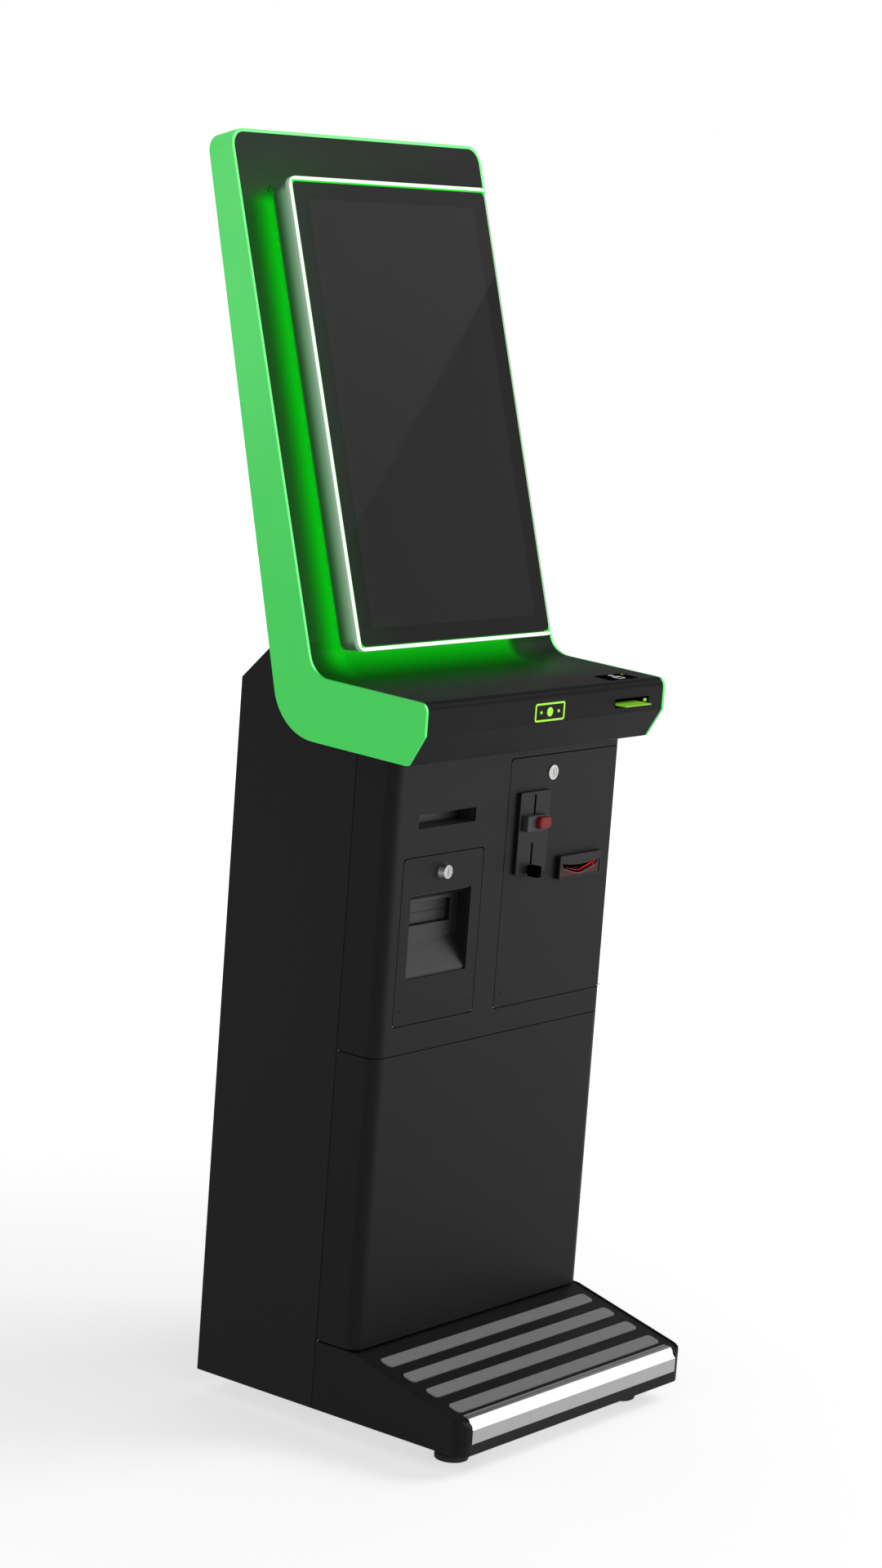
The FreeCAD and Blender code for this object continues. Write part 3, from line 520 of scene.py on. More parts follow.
@dataclass(frozen=True)
class HousingPaintedLight(Finish):
    """Frosted skirt of the screen with painted light: the strips' green at its foot, and the frame's pale
    light towards the white frame.
    """
    name: str = "screen_skirt_with_painted_light"
    end_fade: float = 0.014
    end_colour: Colour = shade(44, 60, 46)

    def paint(self, shader: Shader) -> None:
        """Painted light picked along the depth from the fascia to the frame, dim at the top and bottom."""
        _, inward, up = shader.on_screen()
        share = (0.0 - inward) / SCREEN.frame_proud
        ends = (abs(up) - SCREEN.housing_half[1]).rise(-self.end_fade, 0.0)
        stops = [(0.0, shade(8, 175, 22)), (0.08, shade(14, 110, 24)), (0.17, shade(30, 62, 34)),
                 (0.31, shade(44, 82, 48)), (0.46, shade(68, 108, 73)), (0.60, shade(94, 131, 99)),
                 (0.78, shade(114, 150, 119)), (0.88, shade(128, 163, 133)), (1.0, shade(150, 184, 155))]
        frost = shader.noise(1800.0, 2.0)
        # painted light: the skirt's glow stands for light from the strips and the frame falling on it
        shader.surface((0.010, 0.012, 0.010), 0.5 + (frost - 0.5) * 0.1, shader.bump(frost, 0.00002),
                       shader.mix(shader.ramp(share, stops), self.end_colour, ends * 0.85),
                       Specular_IOR_Level=0.1)


@dataclass(frozen=True)
class LightFrame(Finish):
    """White diffuser round the glass with a thin green line at its inner edge."""
    name: str = "white_light_frame"
    gap: float = 0.0016
    white: Colour = (1.0, 1.06, 1.01)

    def paint(self, shader: Shader) -> None:
        """White face, green inner wall, and sides that carry on the skirt's pale green."""
        across, inward, up = shader.on_screen()
        wall = shader.past(across, up, SCREEN.glass_half).rise(self.gap + 0.0007, self.gap + 0.0004)
        depth = (0.0 - inward) / SCREEN.frame_proud
        stops = [(0.80, shade(116, 152, 121)), (0.90, shade(130, 165, 135)),
                 (0.962, shade(150, 184, 155)), (0.975, self.white)]
        right = across.rise(SCREEN.glass_half[0], SCREEN.glass_half[0] + 0.0006)
        lit_wall = shader.mix(shade(30, 240, 44), shade(176, 214, 180), right)
        glow = shader.mix(shader.ramp(depth, stops), lit_wall, wall)
        shader.surface((0.05, 0.055, 0.05), 0.45, None, glow, Specular_IOR_Level=0.1)


@dataclass(frozen=True)
class CoverGlass(Finish):
    """Cover glass printed black round the display, with faint wipe marks."""
    name: str = "black_printed_cover_glass"
    print_colour: Colour = shade(7, 8, 7)
    display: Colour = shade(29, 29, 29)
    spill_reach: float = 0.050
    spill_share: float = 0.045

    def paint(self, shader: Shader) -> None:
        """Printed border, slightly lighter display, smears in the gloss, and the strips' green painted as
        glow at the left of the rim.
        """
        across, _, up = shader.on_screen()
        active = shader.past(across, up, SCREEN.active_half).rise(0.0006, -0.0006)
        smear = shader.noise(9.0, 4.0, 0.6, shader.stretched(1.0, 1.0, 0.35))
        tone = shader.mix(self.print_colour, self.display, active)
        # painted light: green from the strips painted as glow near the left of the rim
        rim = shader.past(across, up, SCREEN.glass_half)
        left = (across * -1.0).rise(0.10, 0.20)
        spill = rim.rise(-self.spill_reach, 0.0) * left * self.spill_share
        shader.surface(tone, 0.015 + smear.rise(0.45, 0.8) * 0.05, None,
                       shader.mix(BLACK, shade(30, 140, 42), spill), Specular_IOR_Level=0.5)


@dataclass(frozen=True)
class Moulding(Finish):
    """Injection-moulded plastic with a fine spark-eroded grain."""
    name: str
    colour: Colour
    roughness: float = 0.42
    grain: float = 3200.0
    depth: float = 0.00002
    gloss: float = 0.35
    glow: Colour | None = None

    def paint(self, shader: Shader) -> None:
        """Plastic with eased edges, grain and a little unevenness of gloss."""
        eased, rub = shader.eased_edges(0.0005)
        grain = shader.cells(self.grain)
        cloud = shader.noise(40.0, 3.0)
        light = tuple(min(channel * 1.25 + 0.004, 1.0) for channel in self.colour)
        tone = shader.mix(self.colour, light, cloud * 0.4 + rub * 0.5)
        roughness = self.roughness + (cloud - 0.5) * 0.12 - rub * 0.08
        shader.surface(tone, roughness, shader.bump(grain, self.depth, 0.7, eased), self.glow,
                       Specular_IOR_Level=self.gloss)


@dataclass(frozen=True)
class RedLens(Finish):
    """Translucent red window lit from behind, brightest low round the note mouth."""
    name: str = "lit_red_lens"

    def paint(self, shader: Shader) -> None:
        """Dark red plastic glowing from behind, with scattered painted glints."""
        low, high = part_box("note_lens")
        _, _, height = shader.axes()
        fade = (height - low.z) / (high.z - low.z)
        # painted glints: scattered bright specks in the glow
        glint = shader.cells(190.0).rise(0.30, 0.05)
        glow = shader.mix(shade(50, 22, 23), shade(112, 14, 18), (glint * fade.rise(1.0, 0.2)) * 0.7)
        shader.surface(shade(24, 8, 9), 0.25, None, glow, 1.0, Specular_IOR_Level=0.12)


@dataclass(frozen=True)
class PaintedRedLight(Finish):
    """Red light painted inside the note mouth as a reflection and glints, dim at the left and bright towards
    the right.
    """
    name: str = "painted_red_mouth_light"

    def paint(self, shader: Shader) -> None:
        """Painted glow that grows across the note lens."""
        low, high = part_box("note_lens")
        across, _, _ = shader.axes()
        share = ((across - low.x) / (high.x - low.x)).rise(0.05, 0.75)
        flicker = shader.noise(380.0, 2.0).rise(0.25, 0.6)
        glow = shader.mix(shade(70, 0, 2), shade(214, 4, 6), share * 0.8 + flicker * 0.2)
        shader.surface(shade(30, 2, 3), 0.3, None, glow, 1.0, Specular_IOR_Level=0.2)


@dataclass(frozen=True)
class LimeLip(Finish):
    """Lime card guide, its look painted as glow: brighter at its front edge, and painted shade darker where
    it enters the slot.
    """
    name: str = "lime_guide_plastic"

    def paint(self, shader: Shader) -> None:
        """Painted glow picked by the distance from the guide's front edge."""
        low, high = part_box("card_guide_lip")
        _, inward, _ = shader.axes()
        share = (inward - low.y) / (high.y - low.y)
        # painted light: bright band at the front edge, painted shade going into the slot
        stops = [(0.0, shade(136, 196, 44)), (0.03, shade(136, 196, 44)), (0.06, shade(112, 168, 36)),
                 (0.5, shade(112, 168, 36)), (0.75, shade(84, 128, 24)), (1.0, shade(40, 66, 10))]
        grain = shader.noise(1500.0, 2.0)
        shader.surface(shade(40, 66, 12), 0.4 + (grain - 0.5) * 0.1, shader.bump(grain, 0.00001),
                       shader.ramp(share, stops), Specular_IOR_Level=0.2)


@dataclass(frozen=True)
class PipeLamp(Finish):
    """Lime light pipe, sleeved in black behind its lit front face."""
    name: str = "lime_lamp"
    sleeve: float = 0.0016

    def paint(self, shader: Shader) -> None:
        """Glow at the front face and black behind it."""
        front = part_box("card_lamp")[0].y
        _, inward, _ = shader.axes()
        lit = inward.rise(front + self.sleeve, front + self.sleeve * 0.8)
        glow = shader.mix(BLACK, shade(148, 222, 56), lit)
        shader.surface(shade(9, 9, 9), 0.5, None, glow, Specular_IOR_Level=0.1)


@dataclass(frozen=True)
class Metal(Finish):
    """Bare or plated metal whose tool marks run along or round an axis."""
    name: str
    colour: Colour
    roughness: float = 0.32
    marks: tuple[float, float, float] = (40.0, 900.0, 900.0)
    depth: float = 0.00001
    spangle: float = 0.0

    def paint(self, shader: Shader) -> None:
        """Metal with drawn marks, uneven gloss and, on zinc, a faint spangle."""
        eased, rub = shader.eased_edges(0.0004)
        marks = shader.noise(1.0, 3.0, 0.6, shader.stretched(*self.marks))
        cloud = shader.noise(30.0, 3.0)
        dark = tuple(channel * 0.82 for channel in self.colour)
        tone = shader.mix(dark, self.colour, marks * 0.6 + cloud * 0.4)
        roughness = self.roughness + (marks - 0.5) * 0.14 + (cloud - 0.5) * 0.08 - rub * 0.05
        if self.spangle:
            flakes = shader.cells(self.spangle)
            roughness = roughness + (flakes - 0.4) * 0.14
        shader.surface(tone, roughness, shader.bump(marks, self.depth, 0.6, eased), metallic=1.0)


@dataclass(frozen=True)
class Grit(Finish):
    """Anti-slip strip: mineral grains set in a grey binder."""
    name: str = "anti_slip_grit"
    colour: Colour = shade(150, 150, 149)
    dark: Colour = shade(118, 118, 118)
    light: Colour = shade(186, 186, 184)

    def paint(self, shader: Shader) -> None:
        """Grains of about 0.7 mm, some lighter, over a slightly scuffed base."""
        grain = shader.cells(1400.0)
        speck = shader.noise(1100.0, 3.0, 0.7)
        tone = shader.mix(self.dark, self.colour, grain.rise(0.1, 0.6))
        tone = shader.mix(tone, self.light, speck.rise(0.62, 0.80) * 0.6)
        scuff = shader.noise(22.0, 3.0)
        tone = shader.mix(tone, self.light, scuff.rise(0.55, 0.85) * 0.12)
        height = grain * -1.0 + speck * 0.4
        shader.surface(tone, 0.85, shader.bump(height, 0.00012, 0.6), Specular_IOR_Level=0.2)


@dataclass(frozen=True)
class Paper(Finish):
    """Thermal paper wound on a core: fine rings on its ends."""
    name: str = "thermal_paper"

    def paint(self, shader: Shader) -> None:
        """Off-white with the edges of the turns."""
        low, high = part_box("paper_roll")
        centre = (low + high) / 2
        _, y, z = shader.axes(shader.vector_maths("SUBTRACT", shader.place, tuple(centre)))
        rings = shader.noise(1.0, 2.0, 0.6, shader.result(
            "ShaderNodeCombineXYZ", inputs={0: shader.length(y, z) * 2600.0}))
        tone = shader.mix(shade(212, 210, 202), shade(236, 235, 229), rings)
        shader.surface(tone, 0.8, shader.bump(rings, 0.00008))


class Finishes(Enum):
    """The finishes of the terminal by what they go on."""
    COAT = PowderCoat()
    # painted light: the side panels carry a lighter copy of the charcoal coat
    SIDE_COAT = PowderCoat(name="side_panel_coat_painted_lighter", colour=shade(32, 32, 32))
    HALO = HaloCoat()
    # painted shade: the shelf carries a darker copy of the fascia's coat, with the same painted green light
    SHELF_HALO = HaloCoat(name="shelf_coat_painted_darker_with_painted_green_light", colour=shade(15, 15, 15), gloss=0.06)
    ACRYLIC = LitAcrylic()
    SKIRT = HousingPaintedLight()
    FRAME = LightFrame()
    GLASS = CoverGlass()
    BLACK = Moulding("black_grained_plastic", shade(23, 23, 24), gloss=0.14)
    SLATE = Moulding("slate_plastic", shade(29, 34, 38), gloss=0.16)
    GLOSS_BLACK = Moulding("gloss_black_plastic", shade(3, 3, 3), 0.5, 900.0, 0.0, 0.0)
    # painted light: the white pad print is given a glow though it is no lamp
    PAD_PRINT = Moulding("white_pad_print", shade(200, 200, 200), 0.5, 900.0, 0.0, 0.1,
                         shade(150, 150, 150))
    POCKET = PowderCoat(name="payout_pocket_coat", colour=shade(25, 25, 25), roughness=0.42, gloss=0.34)
    NOTE_RIM = Moulding("tinted_lens_rim", shade(96, 66, 68), 0.3, 900.0, 0.0, 0.4, shade(44, 20, 22))
    BLUE = Moulding("blue_connector_plastic", shade(28, 60, 128), 0.4)
    LEVER = Moulding("green_service_lever", shade(40, 132, 70), 0.4)
    CABLE = Moulding("black_cable_jacket", shade(18, 18, 19), 0.5, 1200.0, 0.00004, 0.2)
    FOAM = Moulding("black_filter_foam", shade(14, 14, 14), 0.95, 700.0, 0.0004, 0.05)
    MODULE = Moulding("dark_module_plastic", shade(52, 54, 56))
    LIME = LimeLip()
    PAINTED_RED_LIGHT = PaintedRedLight()
    STRIP = GreenStrip()
    LIME_LAMP = PipeLamp()
    # painted light: a glow painted into the lime of the emblem and the pad tick
    EMBLEM = Moulding("lime_emblem", shade(130, 190, 30), 0.35, 2500.0, 0.00001, 0.3, shade(134, 196, 34))
    # painted light: a faint glow painted into the red
    RED = Moulding("red_button_plastic", shade(128, 16, 22), 0.36, 2600.0, 0.0, 0.16, shade(30, 2, 4))
    LENS = RedLens()
    NICKEL = Metal("satin_nickel", shade(168, 167, 164), 0.34, (700.0, 60.0, 700.0))
    NOSING = Metal("drawn_aluminium", shade(178, 178, 178), 0.36, (8.0, 1500.0, 1500.0))
    ZINC = Metal("zinc_plate", shade(150, 152, 155), 0.38, (60.0, 500.0, 60.0), 0.00001, 260.0)
    GRIT = Grit()
    RUBBER = Moulding("foot_rubber", shade(16, 16, 16), 0.7, 1400.0, 0.00005, 0.25)
    MODULE_STEEL = PowderCoat(name="grey_module_paint", colour=shade(96, 99, 103),
                              worn=shade(140, 142, 145), roughness=0.5)
    PAPER = Paper()


def dress(finish: Finishes, *nodes: str) -> None:
    """Put a finish on CAD nodes.

    Args:
        finish: The finish.
        *nodes: Names of the nodes.
    """
    for name in nodes:
        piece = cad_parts[name]
        if not piece.material_slots:
            piece.data.materials.append(None)
        for material_slot in piece.material_slots:
            material_slot.material = finish.value.material()
    log.info("%s on %s", finish.value.name, ", ".join(nodes))


# ---- meshes worked out from formulas ------------------------------------------------------
@dataclass
class Part:
    """A new piece: its name, finish, record slot and the body that it rides on; the record slot is not used.
    """
    name: str
    finish: Finishes
    slot: str
    body: str = "cabinet"
    sharp: float = math.radians(32)

    def build(self, *skins: Mesh, smooth: bool = True) -> bpy.types.Object:
        """Put skins into one mesh object that rides on its body.

        Args:
            *skins: Points in metres and outward faces of each skin.
            smooth: Whether the faces are shaded smooth; edges sharper than the angle stay crisp.

        Returns:
            The object.
        """
        points, faces = merged(skins)
        mesh = bpy.data.meshes.new(self.name)
        mesh.from_pydata(points.tolist(), [], faces)
        mesh.validate()
        if smooth:
            mesh.polygons.foreach_set("use_smooth", np.ones(len(mesh.polygons), bool))
            mesh.set_sharp_from_angle(angle=self.sharp)
        mesh.materials.append(self.finish.value.material())
        piece = bpy.data.objects.new(self.name, mesh)
        bpy.context.scene.collection.objects.link(piece)
        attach(piece, self.body)
        log.info("piece %s on %s", self.name, self.body)
        return piece


def grid_faces(rows: int, columns: int, wrap: bool = False) -> np.ndarray:
    """Four-cornered faces of a grid of points.

    Point (row, column) has number row * columns + column; each face joins it to the next column
    and the next row, and with wrap the last column joins the first.

    Args:
        rows: Rows of points.
        columns: Points in a row.
        wrap: Whether each row is a closed ring.

    Returns:
        Corner numbers, one face a line.
    """
    spans = columns if wrap else columns - 1
    row, column = np.meshgrid(np.arange(rows - 1), np.arange(spans), indexing="ij")
    after = (column + 1) % columns
    corners = np.stack([row * columns + column, row * columns + after,
                        (row + 1) * columns + after, (row + 1) * columns + column], axis=-1)
    return corners.reshape(-1, 4)


def swept_rings(rings: np.ndarray, cap: bool = True) -> Mesh:
    """Closed skin through a row of rings, with flat caps at both ends.

    Args:
        rings: Array of rings by points by 3.
        cap: Whether the ends are closed.

    Returns:
        Points and faces.
    """
    count, size = rings.shape[:2]
    faces = grid_faces(count, size, wrap=True).tolist()
    if cap:
        faces.append(list(range(size))[::-1])
        faces.append(list(range((count - 1) * size, count * size)))
    return rings.reshape(-1, 3), faces


def lathe(profile: Sequence[tuple[float, float]], centre: Vector, axis: Vector,
          segments: int = 48) -> Mesh:
    """Solid of revolution: each profile point (radius, height) runs round the axis.

    A point is centre + height * axis + radius * (cos t * u + sin t * v), where u and v are
    square to the axis.

    Args:
        profile: Points from one end of the axis to the other.
        centre: Where height is zero.
        axis: Direction of height.
        segments: Points in each ring.

    Returns:
        Points and faces.
    """
    along = np.array(axis.normalized())
    side = np.array(axis.orthogonal().normalized())
    across = np.cross(along, side)
    turn = np.linspace(0, 2 * np.pi, segments, endpoint=False)
    circle = np.cos(turn)[:, None] * side + np.sin(turn)[:, None] * across
    radius, height = np.array(profile).T
    rings = (np.array(centre) + height[:, None, None] * along
             + radius[:, None, None] * circle[None])
    return swept_rings(rings)


def rounded_ring(half_a: float, half_b: float, corner: float, steps: int = 6) -> np.ndarray:
    """Rounded rectangle as one anticlockwise ring of (a, b) points, by quarter circles."""
    turn = np.linspace(0, np.pi / 2, steps)
    arcs = [np.stack([sa * (half_a - corner) + corner * np.cos(turn + start),
                      sb * (half_b - corner) + corner * np.sin(turn + start)], axis=1)
            for sa, sb, start in ((1, 1, 0), (-1, 1, np.pi / 2), (-1, -1, np.pi), (1, -1, 1.5 * np.pi))]
    return np.concatenate(arcs)


def pillow(centre: Vector, u: Vector, v: Vector, half: tuple[float, float], corner: float,
           thick: float, ease: float) -> Mesh:
    """Plate of rounded outline whose front edge is eased by a quarter circle.

    Each ring of the eased edge is the outline drawn in by ease * (1 - cos t), at the height
    thick - ease + ease * sin t, with t from 0 to a right angle.

    Args:
        centre: Middle of the plate's back.
        u, v: Directions of width and height; the plate stands along u x v.
        half: Half width and half height.
        corner: Corner radius.
        thick: Thickness.
        ease: Radius of the eased front edge.

    Returns:
        Points and faces.
    """
    normal = u.cross(v).normalized()
    turn = np.linspace(0, np.pi / 2, 4)
    levels = [(0.0, 0.0)]
    levels += [(ease * (1 - math.cos(t)), thick - ease + ease * math.sin(t)) for t in turn]
    rings = []
    for inset, height in levels:
        ring = rounded_ring(half[0] - inset, half[1] - inset, max(corner - inset, 1e-5))
        rings.append(np.array(centre) + ring[:, :1] * np.array(u) + ring[:, 1:] * np.array(v)
                     + height * np.array(normal))
    return swept_rings(np.array(rings))


def merged(meshes: Iterable[Mesh]) -> Mesh:
    """Several skins as one mesh.

    Args:
        meshes: Points and faces of each skin.

    Returns:
        All points, and all faces with their corner numbers moved on.
    """
    points: list[np.ndarray] = []
    faces: list[list[int]] = []
    start = 0
    for skin, corners in meshes:
        skin = np.asarray(skin, float).reshape(-1, 3)
        faces += [[start + int(corner) for corner in face] for face in corners]
        points.append(skin)
        start += len(skin)
    return np.concatenate(points), faces


def bar(path: Sequence[Vector], radius: Union[float, Sequence[float]], segments: int = 12) -> Mesh:
    """Round bar along a path.

    Ring k is path_k + radius_k * (cos t * u_k + sin t * v_k), with u_k and v_k square to the
    path, u_k carried on from the ring before.

    Args:
        path: Points of the centre line.
        radius: One radius, or one for each point.
        segments: Points in each ring.

    Returns:
        Points and faces.
    """
    line = np.array([tuple(point) for point in path], float)
    ahead = np.gradient(line, axis=0)
    ahead /= np.linalg.norm(ahead, axis=1)[:, None]
    radii = np.broadcast_to(np.asarray(radius, float), (len(line),))
    side = np.array(Vector(ahead[0]).orthogonal().normalized())
    turn = np.linspace(0, 2 * np.pi, segments, endpoint=False)
    rings = []
    for centre, tangent, size in zip(line, ahead, radii):
        side = side - tangent * side.dot(tangent)
        side /= np.linalg.norm(side)
        across = np.cross(tangent, side)
        rings.append(centre + size * (np.cos(turn)[:, None] * side + np.sin(turn)[:, None] * across))
    return swept_rings(np.array(rings))


def ribbon(path: Sequence[Vector], width: float, thick: float, normal: Vector) -> Mesh:
    """Flat strip along a path, its back on the path and its face thick above it.

    Args:
        path: Points of the centre line.
        width: Width of the strip.
        thick: Height along the normal.
        normal: Direction of the strip's face.

    Returns:
        Points and faces.
    """
    line = np.array([tuple(point) for point in path], float)
    ahead = np.gradient(line, axis=0)
    ahead /= np.linalg.norm(ahead, axis=1)[:, None]
    face = np.array(normal)
    side = np.cross(ahead, face) * (width / 2)
    rise = face * thick
    rings = np.stack([line - side, line - side + rise, line + side + rise, line + side], axis=1)
    return swept_rings(rings)


def plate(outline: Sequence[tuple[float, float]], origin: Vector, u: Vector, v: Vector,
          thick: float) -> Mesh:
    """Flat plate of any outline: each (a, b) is at origin + a * u + b * v, thick along u x v.

    Args:
        outline: Anticlockwise corners.
        origin: Where a and b are zero, on the back.
        u, v: Directions of a and b.
        thick: Thickness.

    Returns:
        Points and faces.
    """
    corners = np.array(outline, float)
    back = np.array(origin) + corners[:, :1] * np.array(u) + corners[:, 1:] * np.array(v)
    return swept_rings(np.stack([back, back + np.array(u.cross(v)) * thick]))


def outward(facing: Facing) -> Vector:
    """Direction out of a face."""
    return facing[0].cross(facing[1])


def face_middle(node: str, facing: Facing) -> Vector:
    """Middle of a node's front face, or of its rear face."""
    low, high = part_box(node)
    return Vector(((low.x + high.x) / 2, high.y if facing is REAR else low.y, (low.z + high.z) / 2))


def bow(centre: Vector, facing: Facing, half: float, proud: float, count: int = 33) -> list[Vector]:
    """Path of a pull handle: out from a face, along its width and back, by a flattened half wave.

    At an angle t from 0 to pi, the place is half * -cos t along and proud * sin(t)^0.35 out.
    """
    along, out = facing[0], outward(facing)
    return [centre - along * half * math.cos(t) + out * proud * math.sin(t) ** 0.35
            for t in np.linspace(0.0, math.pi, count)]


def screw(centre: Vector, out: Vector, radius: float = 0.0035) -> Mesh:
    """Domed screw head with a round-bottomed drive recess."""
    profile = [(radius, -0.0004), (radius, 0.0004), (0.86 * radius, 0.0012), (0.6 * radius, 0.0017),
               (0.36 * radius, 0.0018), (0.32 * radius, 0.0009), (0.08 * radius, 0.0008)]
    return lathe(profile, centre, out, 20)


def on_surface(node: str, start: Vector, direction: Vector) -> tuple[Vector, Vector]:
    """Where a ray meets a CAD node, and the direction out of it there."""
    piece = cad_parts[node]
    back = piece.matrix_world.inverted()
    hit, place, normal, _ = piece.ray_cast(back @ start, back.to_3x3() @ direction)
    if not hit:
        raise ValueError(f"no surface of {node} from {tuple(start)}")
    return piece.matrix_world @ place, (piece.matrix_world.to_3x3() @ normal).normalized()


# ---- sub-assemblies -----------------------------------------------------------------------
@dataclass
class Head:
    """Glowing surround, fascia, screen and shelf."""

    def dress(self) -> None:
        """Put finishes on the head's nodes."""
        dress(Finishes.ACRYLIC, "left_light_panel", "right_light_panel", "top_light_panel")
        dress(Finishes.HALO, "upright_fascia")
        dress(Finishes.SHELF_HALO, "shelf_fascia")
        dress(Finishes.COAT, "head_back_cover")
        dress(Finishes.ZINC, "head_side_frames", "head_mount_bolts")
        dress(Finishes.STRIP, "light_strips")
        dress(Finishes.SKIRT, "screen_housing")
        dress(Finishes.FRAME, "screen_light_frame")
        dress(Finishes.GLASS, "screen_glass")
        dress(Finishes.MODULE, "display_panel")
        dress(Finishes.GLOSS_BLACK, "contactless_reader", "card_slot_bezel", "card_reader")
        dress(Finishes.LIME, "card_guide_lip")
        dress(Finishes.LIME_LAMP, "card_lamp")
        dress(Finishes.EMBLEM, "emblem")


@dataclass
class Cabinet:
    """Sheet-metal cabinet with its doors, step and feet."""

    def dress(self) -> None:
        """Put finishes on the cabinet's nodes."""
        dress(Finishes.COAT, "upper_front_panel", "lower_front_door", "payout_door", "cash_in_door",
              "step_skirt", "tread_plate", "back_panel", "rear_service_door")
        dress(Finishes.SIDE_COAT, "left_side_panel", "right_side_panel")
        dress(Finishes.ZINC, "base_plate", "cabinet_top_plate", "equipment_shelf", "hinge_pins")
        dress(Finishes.GRIT, "antislip_strips")
        dress(Finishes.NOSING, "step_nosing")
        dress(Finishes.RUBBER, "levelling_feet")


@dataclass
class Equipment:
    """Locks, coin and note parts, and the modules inside."""

    def dress(self) -> None:
        """Put finishes on the equipment's nodes."""
        dress(Finishes.NICKEL, "payout_lock_body", "payout_lock_barrel", "cash_in_lock_body",
              "cash_in_lock_barrel", "rear_lock_body", "rear_lock_barrel")
        dress(Finishes.POCKET, "payout_pocket", "payout_shutter")
        dress(Finishes.BLACK, "coin_plate", "note_bezel", "power_inlet")
        dress(Finishes.GLOSS_BLACK, "coin_return_cup")
        dress(Finishes.SLATE, "coin_entry_block")
        dress(Finishes.RED, "reject_button")
        dress(Finishes.LENS, "note_lens")
        dress(Finishes.MODULE, "coin_acceptor", "note_acceptor", "receipt_printer")
        dress(Finishes.MODULE_STEEL, "note_dispenser", "coin_box", "computer", "power_supply")
        dress(Finishes.PAPER, "paper_roll")


@dataclass
class KeySlots:
    """Black plugs sunk in the key slots of the three cam locks, painted shade for the dark keyways."""
    half: tuple[float, float] = (0.00072, 0.0043)
    corner: float = 0.0003
    ease: float = 0.0002
    sunk: float = 0.0004
    deep: float = 0.0035

    def build(self) -> None:
        """Make one black plug of painted shade in each lock's key slot, riding on its barrel."""
        for name, facing in (("payout", FRONT), ("cash_in", FRONT), ("rear", REAR)):
            face = face_middle(f"{name}_lock_body", facing)
            face.y = face_middle(f"{name}_lock_barrel", facing).y
            skin = pillow(face - outward(facing) * (self.sunk + self.deep), *facing, self.half,
                          self.corner, self.deep, self.ease)
            Part(f"{name}_keyway_painted_shade", Finishes.GLOSS_BLACK, "black_plastic", f"{name}_lock").build(skin)


